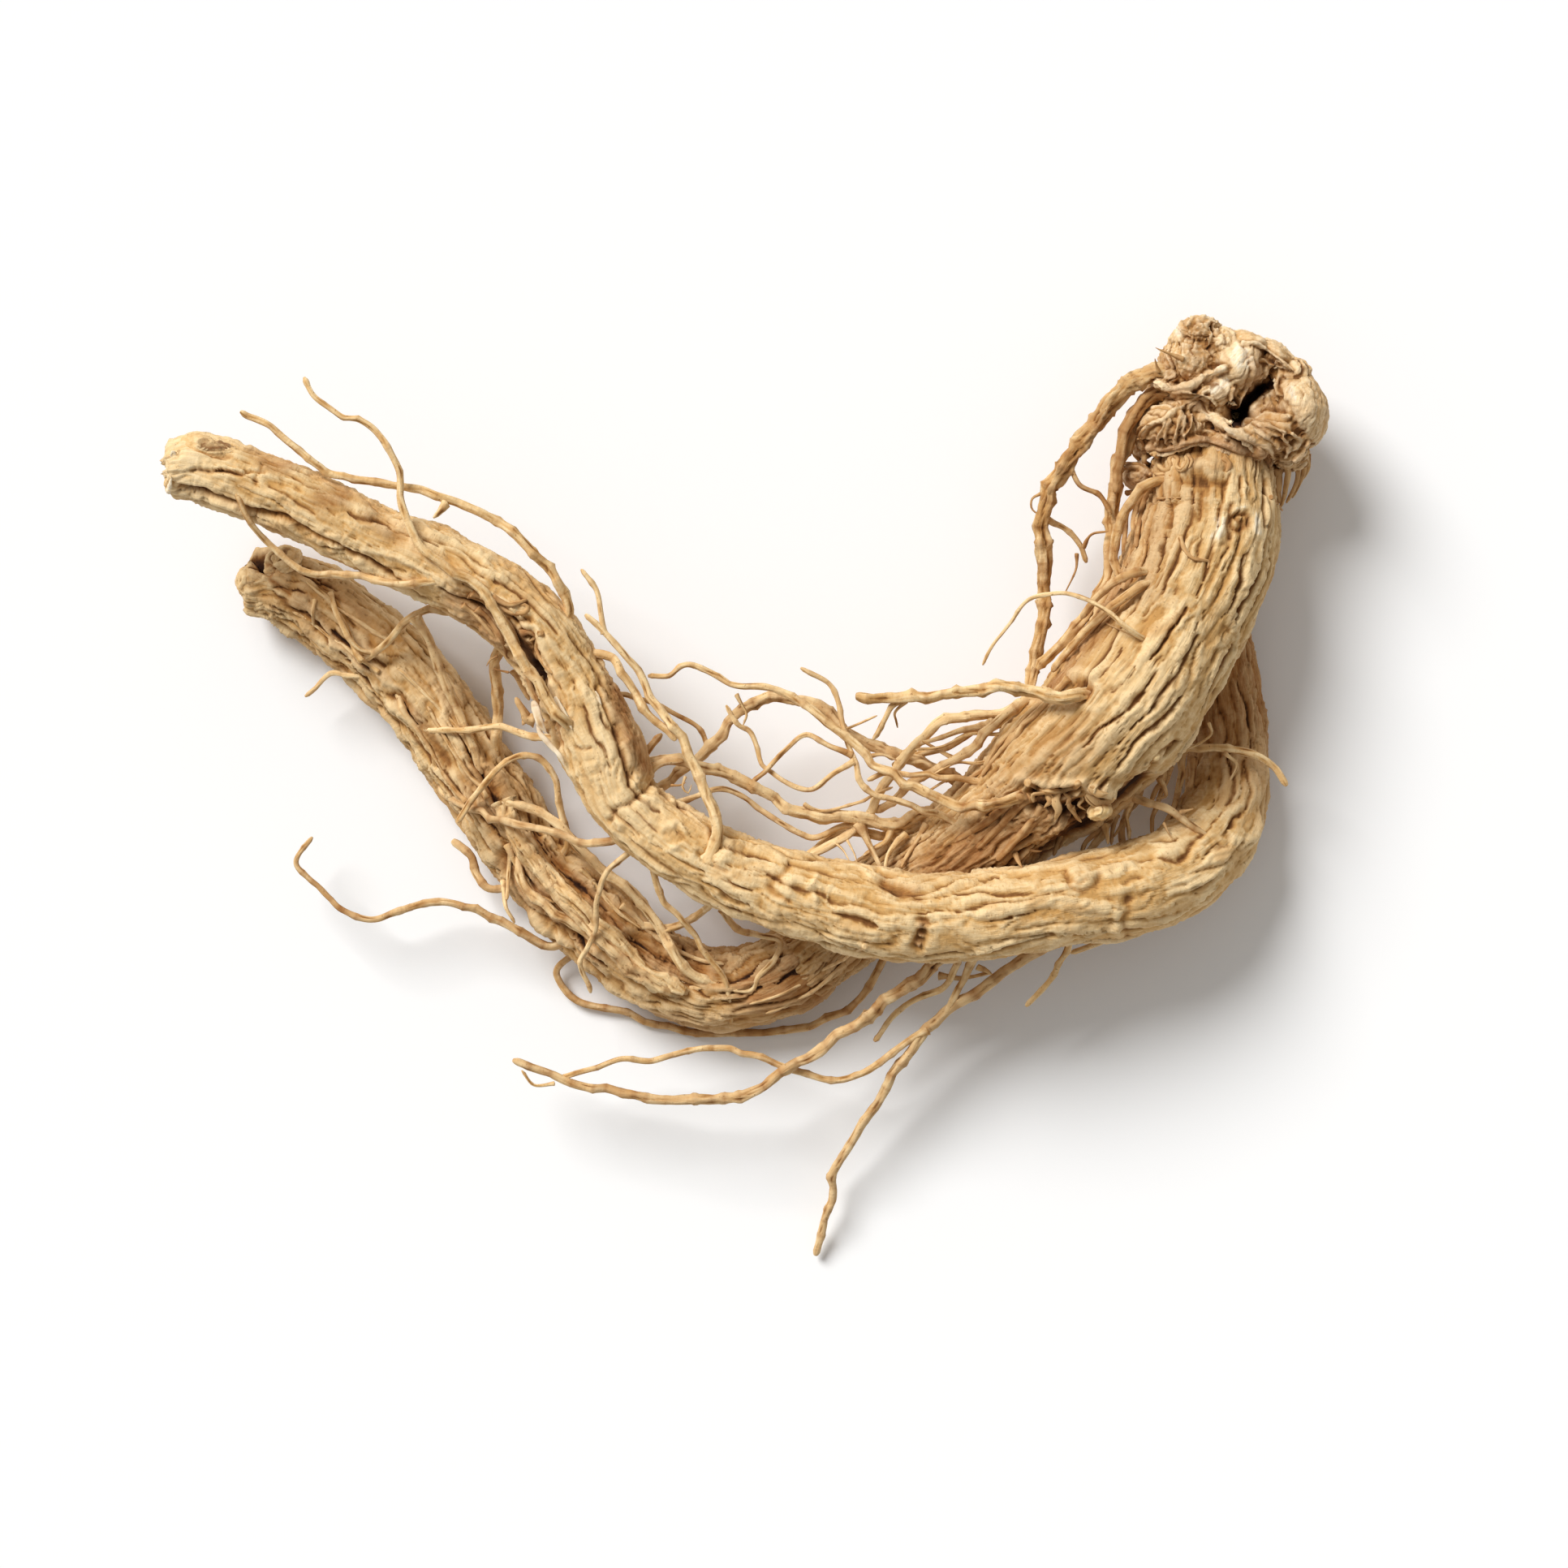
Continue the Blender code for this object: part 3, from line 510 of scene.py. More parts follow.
def marked(places, outward, marks):
    """Depth, stain or painted shade, and bleach that the listed marks give to points on the side that the
    camera sees.
    """
    right, up, facing = as_seen(places, outward)
    depth, stain_and_shade, bleach = np.zeros((3, len(places)))
    right = right + MARK_WANDER * rounded_noise(places * 0.4, MARK_SEED + 2)
    up = up + MARK_WANDER * rounded_noise(places * 0.4, MARK_SEED + 3)
    wobble = 1.0 + 0.25 * rounded_noise(places * 0.45, MARK_SEED)
    wobble += 0.2 * rounded_noise(places * 1.4, MARK_SEED + 1)
    for width, deep, tone, line in marks:
        near = near_line(right, up, line)
        shape = np.exp(-((near / (width * wobble)) ** 2)) * facing
        depth += deep * shape
        if tone > 0:
            stain_and_shade = np.maximum(stain_and_shade, tone * shape**1.5)
        else:
            bleach = np.maximum(bleach, -tone * shape)
    return depth, stain_and_shade, bleach


thick_roots = []


def finished(name, mesh, material, thick=False):
    """A smooth-shaded piece in the frame's metres that stands for the CAD root and rides with it."""
    if thick:
        thick_roots.append(BVHTree.FromBMesh(mesh))
    bmesh.ops.scale(mesh, vec=(MM, MM, MM), verts=mesh.verts)
    for face in mesh.faces:
        face.smooth = True
    data = bpy.data.meshes.new(name)
    mesh.to_mesh(data)
    mesh.free()
    data.materials.append(material)
    piece = bpy.data.objects.new(name, data)
    bpy.context.scene.collection.objects.link(piece)
    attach(piece, "root")
    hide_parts("dried_root")


def bark_layers(mesh):
    """Makes the layers in which a mesh's points hold what the bark material reads."""
    for key in ("furrow_shade", "crest", "stain_and_shade", "bleach"):
        mesh.verts.layers.float.new(key)
    mesh.verts.layers.float_vector.new("grain")


def placed(mesh, verts, places, grain, stored):
    """Moves verts to their places and stores what the bark material reads there."""
    layers = mesh.verts.layers
    grain_layer = layers.float_vector["grain"]
    kept = [(layers.float[key], values) for key, values in stored.items()]
    for i, vert in enumerate(verts):
        vert.co = places[i]
        vert[grain_layer] = grain[i]
        for layer, values in kept:
            vert[layer] = values[i]


def pits(depth, darkest=1.0):
    """How much painted shade a mark's hollow gets: a dent stays clear, and a deep pit is all furrow shade.
    """
    return np.clip(0.6 * depth - 0.5, 0.0, darkest)


def underside_shade(outward):
    """Painted shade on the sides and the underside: browner where the skin faces sideways or down."""
    return 0.55 * np.clip(0.35 - outward[:, 2], 0.0, 1.0)


def hose(mesh, across, side, sides):
    """Adds a grid that wraps round a route: its verts, each one's ring and turn, and the way out."""
    count = len(across)
    made = bmesh.ops.create_grid(mesh, x_segments=sides, y_segments=count - 1, size=0.5)["verts"]
    ring = np.repeat(np.arange(count), sides + 1)
    turn = np.tile(np.arange(sides + 1) % sides, count) * math.tau / sides
    return made, ring, turn, np.cos(turn)[:, None] * across[ring] + np.sin(turn)[:, None] * side[ring]


def tube(rings, sides, look, marks):
    """A closed tube of wrinkled bark, with what the bark material reads at each point."""
    mesh = bmesh.new()
    bark_layers(mesh)
    centres, across, side, ahead, radii, distances, shares = rings
    made, ring, turn, outward = hose(mesh, across, side, sides)

    def wrapped(grid):
        """The values of each ring with its first one again at the end, all in one row."""
        return np.concatenate((grid, grid[:, :1]), axis=1).ravel()

    relief, furrow_shade, tint = (wrapped(grid) for grid in wrinkled_bark(rings, sides, look))
    places = centres[ring] + outward * ((radii[ring] + relief) * shares[ring])[:, None]
    rough = rounded_noise(places * 1.1, TORN_SEED)
    rough += 0.6 * rounded_noise(places * 2.7, TORN_SEED + 1)
    torn = (1.0 - shares[ring]) * look["torn"]
    places = places + ahead[ring] * (rough * torn)[:, None]
    depth, stain_and_shade, bleach = marked(places, outward, marks)
    places = places - outward * (depth * shares[ring])[:, None]

    grid = (relief - depth).reshape(len(radii), sides + 1)[:, :sides]
    reach = max(2, round(HOLLOW_REACH / (math.tau * radii.mean() / sides)))
    hollow = wrapped(grid - smoothed(grid, reach, reach)) / look["hollow"]
    # low places get painted shade on top of the furrows', and high ones count as crests, which the bark
    # paints paler
    furrow_shade = np.clip(furrow_shade + 0.35 * np.clip(-hollow - 0.3, 0.0, 1.0), 0.0, 1.0)
    low = places[:, 2] < FLOOR_GAP
    places[low, 2] = FLOOR_GAP + 0.02 * (places[low, 2] - FLOOR_GAP).clip(-1.0, 0.0)
    # the sides and the underside get painted shade, on top of the marks' stains
    stain_and_shade = np.maximum(stain_and_shade, underside_shade(outward)) + look["stain_and_shade"](places, distances[ring])
    thick = radii[ring] * shares[ring]
    grain = np.column_stack((np.cos(turn) * thick, np.sin(turn) * thick, distances[ring]))
    placed(mesh, made, places, grain, {
        "furrow_shade": np.maximum(furrow_shade, pits(depth)),
        "crest": np.clip(0.5 + 0.5 * hollow + 0.4 * tint, 0.0, 1.0),
        "stain_and_shade": np.clip(stain_and_shade, 0.0, 1.0),
        "bleach": np.clip(bleach + look["bleach"](places), 0.0, 1.0),
    })
    bmesh.ops.remove_doubles(mesh, verts=made, dist=WELD)
    return mesh


def darker_midway(places, distance):
    """The root darkens towards its middle, in patches, and less so towards its lower end."""
    darker = np.clip((distance - DARKER_START) / 34.0, 0.0, 1.0)
    paler = np.clip((distance - PALER_START) / 25.0, 0.0, 1.0)
    return (darker - 0.72 * paler) * (0.36 + 0.3 * rounded_noise(places * DARKER_PATCH, DARKER_SEED))


# its wrinkles: how many ridges lie side by side and how long they are, how wide and deep the
# furrows are, how far they wander, and the heights of the smaller forms
TAPROOT_LOOK = {
    "seed": 3, "around": 31, "length": 10.5, "width": 0.5, "main": 1.05, "soft": 0.8, "own": 0.5,
    "lean": 0.4, "finer_around": 80, "finer_length": 3.8, "finer": 0.7, "wander": 0.8, "slide": 2.8,
    "swell": 0.03, "crinkle": 0.38, "lumps": 0.36, "grit": 0.06, "hollow": 0.42, "torn": 0.0,
    "dark": 0.7, "stain_and_shade": darker_midway, "bleach": lambda places: 0.0,
}
# each mark: how wide, how deep (less than nothing is raised), how stained or darkened with painted shade
# (less than nothing is bleached), and where it runs
TAPROOT_MARKS = [
    # the round scar high on the right, with the bark bleached round it
    (0.42, 0.7, 1, [(66.2, 39.3), (67.2, 39.9), (68.4, 39.4), (68.5, 38.2), (67.4, 37.6), (66.3, 38.1),
        (66.2, 39.3)]),
    (0.35, 0.5, 0.9, [(66.9, 39.2), (67.8, 38.4)]),
    (0.45, 0.6, 0.9, [(66.3, 41.6), (65.9, 40.2), (65.6, 38.2), (65.9, 36.6)]),
    (1.5, -0.3, -1.1, [(64.4, 38.6), (64, 36.8)]),
    (1, -0.3, -1.1, [(69.6, 39.6), (69.7, 37.4)]),
    (0.5, -0.2, -1, [(67, 40.8), (68.2, 41)]),
    # rounded tops of ridges under the crown's lip, one of them a smooth orange swelling
    (1.5, -1.2, 0.45, [(60.6, 46.8), (63.4, 47)]),
    (0.9, -0.4, 0.4, [(57.2, 44.8), (57, 42.8)]),
    (0.9, -0.5, 0.1, [(65.6, 45.6), (66.2, 43.2)]),
    (0.45, 0.7, 0.7, [(58.4, 45), (60.4, 44.6), (63.8, 44.8), (65, 44.2)]),
    (0.4, 0.5, 0.6, [(55.8, 42), (57.2, 41.2), (58.8, 41.8)]),
    (3.2, 0, 0.5, [(60.8, 46.5), (60.4, 41)]),
    # the fine dark lines between the ridges there, sunk and darkened with painted shade
    (0.3, 0.7, 0.8, [(56.9, 43.6), (57.2, 38.1)]),
    (0.3, 0.7, 0.8, [(61.8, 43.8), (61.4, 39.2)]),
    (0.3, 0.7, 0.8, [(65.7, 45.7), (65, 42), (64.1, 38.1)]),
    (0.3, 0.6, 0.7, [(67.6, 45.4), (67.9, 42.6)]),
    (0.3, 0.7, 0.8, [(71, 45), (71.4, 38.1)]),
    # the pit that the straight rootlet grows out of, darkened with painted shade
    (1.5, 1.2, 0.8, [(43.3, 14.4), (44.4, 13.6)]),
    (1.1, -0.7, 0.15, [(42.6, 16.4), (45.6, 16.2), (46.6, 13.6), (45, 11.6)]),
    # the smooth, pale swelling in the middle
    (4.2, -0.5, -0.5, [(49.6, 15.4), (53, 13)]),
    # ochre bark down the left, the torn left flank and the reddish lower end
    (4.4, 0, 0.6, [(57, 44), (55, 36), (53, 29)]),
    (3.6, 0.8, 1, [(51.4, 46), (50, 38), (47.6, 29), (43.6, 21.6), (38.4, 15)]),
    (6, 0, 0.5, [(42, 6), (34, 0)]),
    (6, 0.3, 0.85, [(42, -5), (31, -8), (24, -12)]),
    # the broken flap, the hollow under it, darkened with painted shade, and the waste under that
    (0.7, -0.7, -0.4, [(34.6, 0.8), (36.4, 0.2), (39, -0.6), (41.6, -0.4), (44, 0.5)]),
    (0.7, 2.8, 1, [(36.4, -1.2), (38.8, -1.9), (41.2, -1.7), (43.4, -1)]),
    (1.9, 1.9, 0.9, [(37.4, -3.6), (40.4, -4.2), (43.6, -4.4)]),
    (2.6, 2.4, 0.7, [(54, -0.8), (49.8, -4.6), (45, -8.4), (40, -11.6)]),
    (1, -1.2, -0.45, [(46, -1), (48.4, -1.8)]),
    (0.3, 0.6, 0.7, [(45.4, -2), (46.8, -2.4), (48.6, -3)]),
    (0.3, 0.5, 0.5, [(46.8, -0.2), (47.4, -1.2), (47.2, -2)]),
    (0.4, 0.6, 0.7, [(54.8, 2.6), (56.2, 4.8), (58, 6.4)]),
]

taproot_rings = with_ends(along_route(TAPROOT + TAIL, TAPROOT_RING_GAP, stop=TAPROOT_LENGTH), TAPROOT_DOME)
taproot_mesh = tube(taproot_rings, TAPROOT_SIDES, TAPROOT_LOOK, TAPROOT_MARKS)
taproot_bark = bark_material(
    "taproot_bark",
    cream=(0.85, 0.63, 0.345), tan=(0.63, 0.385, 0.15), ochre=(0.54, 0.28, 0.082),
    brown=(0.19, 0.075, 0.019), deep_shade=(0.03, 0.009, 0.003), patches=0.6, specks=0.4, bump=1.0,
)
finished("taproot", taproot_mesh, taproot_bark, thick=True)

# The tail: the taproot's lower end, which lies on the surface, browner and softer than the rest,
# and ends in a cut that has dried into two knobs.
TAIL_SIDES = 144
TAIL_RING_GAP = 0.33
TAIL_START = 107.4
TAIL_DOME = 1.0
TAIL_LOOK = dict(
    TAPROOT_LOOK,
    around=20, length=7.5, finer_around=46, wander=0.95, own=0.8, lumps=0.6, torn=1.2, dark=0.8,
)
TAIL_MARKS = [
    (4, 0, 0.9, [(14, -24), (6, -28), (-4, -30)]),
    (2, 0, 0.5, [(-60, 16), (-66, 22), (-72, 27)]),
    # torn open along the outside of its belly, the tear darker inside with painted shade in its hollow,
    # with a swelling beside it
    (2.2, 1.6, 1, [(-41.4, -11.4), (-38.2, -16), (-34.2, -19.8), (-29.6, -23)]),
    (1.1, 1, 1, [(-36.4, -7.4), (-33, -12), (-28.4, -16.6), (-24.4, -21)]),
    (2.4, -1, 0.4, [(-29.6, -12.6), (-26.4, -16.6), (-23.4, -20)]),
    (5, 0, 0.5, [(-44, -2), (-36, -14), (-26, -23), (-12, -28.6)]),
    (1.6, 0.9, 1, [(-22.6, -23.6), (-17.8, -26), (-13, -26.4)]),
    (0.8, 0.9, 0.8, [(-46.4, 4.4), (-43.6, 0.2), (-41.2, -4.4)]),
    (1.2, 0.5, 0.7, [(-57, 13), (-53, 8), (-50, 3)]),
    (1.3, 2.6, 0.9, [(-78, 34.6), (-76.8, 32.4)]),
    (0.6, 0.9, 0.9, [(-76.8, 32.4), (-76, 30.6), (-74.5, 29), (-73, 28)]),
    (0.6, 0.5, 0.5, [(-70.5, 31), (-66.5, 28.5), (-62, 25)]),
]

tail_rings = with_ends(along_route(TAPROOT + TAIL, TAIL_RING_GAP, TAIL_START), TAIL_DOME)
tail_mesh = tube(tail_rings, TAIL_SIDES, TAIL_LOOK, TAIL_MARKS)
finished("tail", tail_mesh, taproot_bark, thick=True)

# The branch root: leaves the taproot's underside, bends on the surface, rises and passes over the
# tail. Two tight folds cross it at the knee, and its end is a pale, ragged cut.
BRANCH = [
    (60, 33, 11, 4.5), (62.5, 26.5, 8.5, 5.2), (64, 19, 6.8, 5.5), (65.2, 11, 5.4, 5.9),
    (65.6, 3.5, 5.5, 6), (65.2, -3, 8, 6.3), (62.8, -8.6, 11, 6.6), (58, -12.8, 14.5, 6.8),
    (51, -15.6, 17.5, 7), (43, -17, 19.6, 6.7), (34, -18.8, 21, 6.5), (25, -19.8, 21.6, 6.7),
    (16, -19.4, 21.8, 6.8), (8, -17.9, 21.8, 6.5), (0, -15.8, 21.8, 6.2), (-9, -12.5, 21.8, 5.7),
    (-17.5, -7.7, 22, 5.5), (-23.5, -2.6, 22, 5.3), (-26.2, 3.5, 22, 6.2), (-29.3, 10, 22, 6),
    (-32.5, 16.2, 22.2, 5.7), (-36.5, 22, 22.5, 6), (-41.2, 26.3, 22.8, 5.9), (-46.9, 30, 23, 5.8),
    (-54, 33.5, 23.2, 5.6), (-60, 35.8, 23.4, 5.2), (-67, 39.2, 23.6, 5.3), (-74, 42.5, 23.8, 5.2),
    (-80.5, 44.8, 24, 5.2), (-86.3, 46.8, 24, 5.1), (-90.4, 46.6, 24, 4.4),
]
BRANCH_SIDES = 140
BRANCH_RING_GAP = 0.33
BRANCH_DOME = 0.8
DARKER_LENGTH = 44.0
BLEACHED_FROM = -72.0
BRANCH_LOOK = {
    "seed": 23, "around": 17, "length": 9.5, "width": 0.6, "main": 0.85, "soft": 0.7, "own": 0.5,
    "lean": 0.4, "finer_around": 46, "finer_length": 3.5, "finer": 0.55, "wander": 0.85, "slide": 2.6,
    "swell": 0.03, "crinkle": 0.36, "lumps": 0.36, "grit": 0.06, "hollow": 0.40, "torn": 1.5,
    "dark": 0.52,
    # darker along its first part, from the taproot round the bend
    "stain_and_shade": lambda places, distance: np.clip((DARKER_LENGTH - distance) / 20.0, 0.0, 1.0),
    "bleach": lambda places: np.clip((BLEACHED_FROM - places[:, 0]) / 9.0, 0.0, 0.68),
}
BRANCH_MARKS = [
    # the tight fold at the knee, between two rolls
    (0.34, 0.5, 0.5, [(-19, 0.9), (-20.2, -0.9), (-21.7, -1.5), (-22.6, -2.9), (-24.6, -3.5), (-25.7, -5)]),
    (1, -0.15, 0, [(-21.6, 0.6), (-23.6, -1.4), (-25.6, -3.2)]),
    (1.1, -0.2, -0.2, [(-19.6, -2.2), (-22.4, -4.4), (-24.8, -6.4)]),
    # folds over the tail
    (0.45, 0.6, 0.5, [(-10.6, -6.8), (-10.2, -8.6), (-11.8, -10.6), (-10.6, -12.2), (-8.6, -12.8)]),
    (0.9, -0.45, 0, [(-8.8, -7.4), (-8.4, -9.4), (-9.4, -11)]),
    (0.5, 0.5, 0.45, [(0.8, -11.8), (-0.6, -13.6), (-2.2, -15), (-1.2, -16.6), (0.6, -17.2)]),
    (0.9, -0.4, 0, [(2, -13.4), (0.8, -15.2)]),
    (0.5, -0.5, 0, [(-17.8, -6.6), (-15.6, -5.6), (-14.6, -7)]),
    (0.5, -0.5, 0, [(-16.8, -9.4), (-14.6, -8.6), (-13.4, -10)]),
    (0.6, -0.5, 0, [(4.4, -14), (3.6, -15.6), (4.6, -17.2)]),
    # the beaded scar, the knots and the round scar
    (0.9, 1.7, 1, [(20.4, -20.4), (20.4, -22.4), (19.8, -24.2)]),
    (0.5, -1.7, -1, [(20.1, -21), (20.4, -21.1)]),
    (0.42, -1.7, -1, [(20.3, -22.6), (20.4, -22.8)]),
    (0.38, -1.6, -1, [(19.9, -24), (19.9, -24.2)]),
    (0.4, 0.3, 0.5, [(50.6, -16.8), (51.2, -18.6), (50.2, -20.4), (50.8, -22.6)]),
    (0.8, -0.5, 0, [(49.4, -17.6), (49.6, -19.6), (49, -21.4)]),
    (1.2, 1, 1, [(15, -14.4), (17, -15.4)]),
    (1.6, 0, 0.7, [(15.4, -14.6), (19, -16)]),
    (1, 0.3, 0.9, [(17, -15.4), (19.8, -16.6)]),
    (0.35, 0.5, 0.5, [(41.8, -12.4), (42.2, -14.2), (43.8, -15), (45, -13.8)]),
    (1.5, -0.9, 0.15, [(43.5, -13.5), (44.4, -13.7)]),
    (0.4, 0.5, 0.6, [(41.6, -13), (42.2, -15.2), (44.2, -16), (46.4, -15.2), (46.6, -13.2)]),
    # ochre patches towards the end
    (2.2, 0, 0.75, [(-68.2, 41.8), (-65.4, 42.2)]),
    (1.6, 0, 0.7, [(-77, 47.6), (-72.8, 47.2)]),
    (2, 0, 0.55, [(-61.6, 39.4), (-57, 36.4)]),
    (1.2, 0.2, 0.5, [(-78.4, 49.4), (-74.8, 48.4)]),
    (0.3, 0.5, 0.8, [(-18.1, -1.3), (-17, -2.2)]),
    (0.3, 0.5, 0.8, [(-15.7, -3), (-14.6, -3.9)]),
    (0.3, 0.5, 0.6, [(-30.8, 5.6), (-29.8, 5.3), (-28.6, 5.5)]),
    (0.3, 0.5, 0.6, [(-77.4, 47), (-78, 45.4), (-77.8, 44.2)]),
    # the torn hollow beside the knee, darkened with painted shade, down to the white papery bit
    (2.8, 0.3, 0.8, [(-49, 27), (-44.6, 22.6), (-42, 18.6), (-39.6, 14)]),
    (1.8, 1.9, 0.95, [(-46, 26.6), (-43, 24.4), (-40.6, 22), (-39, 19), (-37.4, 16)]),
    (1.2, 1.3, 0.85, [(-37.4, 16), (-36, 12.8), (-35, 9.6), (-34, 6)]),
    (0.6, 1.4, 1, [(-38.6, 22.2), (-37.4, 21.8), (-37, 19.6), (-36.4, 17.6)]),
    (0.7, 1.4, 1, [(-35.2, 9.8), (-34.2, 8.6), (-33.2, 8.8)]),
    (0.5, 0.9, 0.9, [(-41, 25.4), (-39.4, 24.4), (-37.6, 24.4)]),
    # the strip of dark, rough bark down the right of the knee
    (1.9, -0.35, 1, [(-25.2, 13.8), (-24, 10), (-22.6, 6.4), (-20.8, 2.6)]),
    (0.3, 0.7, 0.8, [(-27.6, 14.2), (-26.6, 11.6), (-25.4, 9.2), (-24.4, 6.2), (-23.6, 3.6), (-22.8, 1)]),
    (0.9, -0.2, -0.7, [(-27.8, 12.4), (-27.2, 8.4), (-25.8, 4)]),
    (4, 0, -0.65, [(-27.6, 6), (-25, -2), (-20, -5)]),
    # the splits along the underside of the far end, darkened with painted shade
    (0.5, 1.2, 0.9, [(-89.4, 43.8), (-86, 43), (-82, 41.4), (-78, 40.2), (-74, 39.4), (-70.6, 37.4)]),
    (0.35, 0.8, 0.8, [(-70.6, 37.4), (-67, 35.6), (-63, 33.8), (-58, 31)]),
    (0.4, 0.7, 0.6, [(-86.6, 49.6), (-84.4, 48.6), (-81.6, 48.8)]),
    (0.3, 0.6, 0.6, [(-87.8, 46.6), (-84.4, 46.4), (-80.4, 46), (-76.6, 46.2)]),
]

branch_rings = with_ends(along_route(BRANCH, BRANCH_RING_GAP), BRANCH_DOME)
branch_mesh = tube(branch_rings, BRANCH_SIDES, BRANCH_LOOK, BRANCH_MARKS)
branch_bark = bark_material(
    "branch_bark",
    cream=(0.87, 0.65, 0.36), tan=(0.69, 0.43, 0.175), ochre=(0.57, 0.305, 0.09),
    brown=(0.20, 0.08, 0.021), deep_shade=(0.035, 0.012, 0.004), patches=0.6, specks=0.4, bump=0.8,
)
finished("branch_root", branch_mesh, branch_bark, thick=True)

# The crown: the knotted head that the stems grew from, all lobes and folds round the deep slit
# where a stem broke away. Bands of bark run over the lobes and fuse with them.
CROWN_GRAIN = 0.2
CROWN_SEED = 71
BAND_SIDES = 8
CROWN_HEIGHT = 14.0
HOLLOW_ROUNDS = 10
FUSED_ROUNDS = 3
LOBE_SHIFT = 7.0
DEEPEST = 3.0
OUTLINE_WIDTH = 0.2
# the wrinkles of its skin: how wide, how long, and their share of a lobe's depth
CROWN_WRINKLES = [(2.1, 6.5, 0.95), (0.95, 3.6, 0.75)]
# each lobe: middle, half sizes, turn, the way its wrinkles run, their depth, grit, how bleached
CROWN_LOBES = [
    ((66, 55.4, 11.2), (11.2, 8.4, 9.4), 0, 60, 0.5, 0.05, 0),
    ((60.4, 62.2, 14.8), (5, 4.4, 7), 10, -60, 0.5, 0.34, 0),
    ((61.2, 66.4, 16), (3.4, 2.8, 5), 10, -20, 0.35, 0.36, 0),
    ((58.6, 65.4, 15.5), (1.9, 2.1, 4), 0, 40, 0.3, 0.3, 0.3),
    ((64.4, 64.6, 15.2), (3.4, 2.8, 6.6), -10, 60, 0.3, 0.3, 0.3),
    ((66.8, 61.6, 16), (4.3, 4.6, 7.7), -35, 50, 0.3, 0.05, 0.5),
    ((64.2, 57.6, 16), (3.8, 3, 6.6), 20, 50, 0.4, 0.1, 0.2),
    ((68.4, 64.6, 15.2), (3.8, 2.2, 6.3), -18, -20, 0.4, 0.14, 0.1),
    ((72.2, 62.9, 15), (3.4, 2.3, 6.2), -36, -35, 0.45, 0.16, 0),
    ((75, 60, 15), (2.8, 2.8, 6.6), -40, 20, 0.4, 0.14, 0),
    ((76, 55.2, 15.6), (4.2, 6, 8.3), 12, 80, 0.45, 0.08, 0.25),
    ((72.8, 56.8, 13.8), (3.4, 4.4, 6.6), 30, -15, 0.6, 0.05, 0),
    ((71.3, 60.8, 17.6), (1.5, 1.4, 3), 0, 0, 0.2, 0.35, 0),
    ((70.4, 59.3, 16.8), (1.2, 1.1, 2.6), 0, 0, 0.2, 0.35, 0),
    ((71.8, 51.4, 14.8), (6, 3.8, 8.8), 12, -25, 0.7, 0.06, 0),
    ((66, 51.2, 15), (5.4, 3.2, 8.6), -14, -28, 0.6, 0.06, 0),
    ((57.6, 52.2, 14.4), (6, 4, 8.7), -5, 76, 0.8, 0.05, 0.15),
    ((60.4, 57, 14.5), (5.2, 3.4, 7.8), 15, 15, 0.7, 0.08, 0),
    ((56.6, 59.6, 13.6), (3.4, 2.6, 6.6), 40, 40, 0.5, 0.3, 0),
    ((53.6, 51.4, 12.5), (2.4, 3.2, 6.6), 0, 85, 0.7, 0.08, 0),
    ((52.4, 45.4, 11.5), (2.2, 2.4, 5), -15, 60, 0.5, 0.1, 0),
    ((74.6, 48.6, 13.6), (3, 2.4, 7.2), 20, 40, 0.7, 0.1, 0),
]
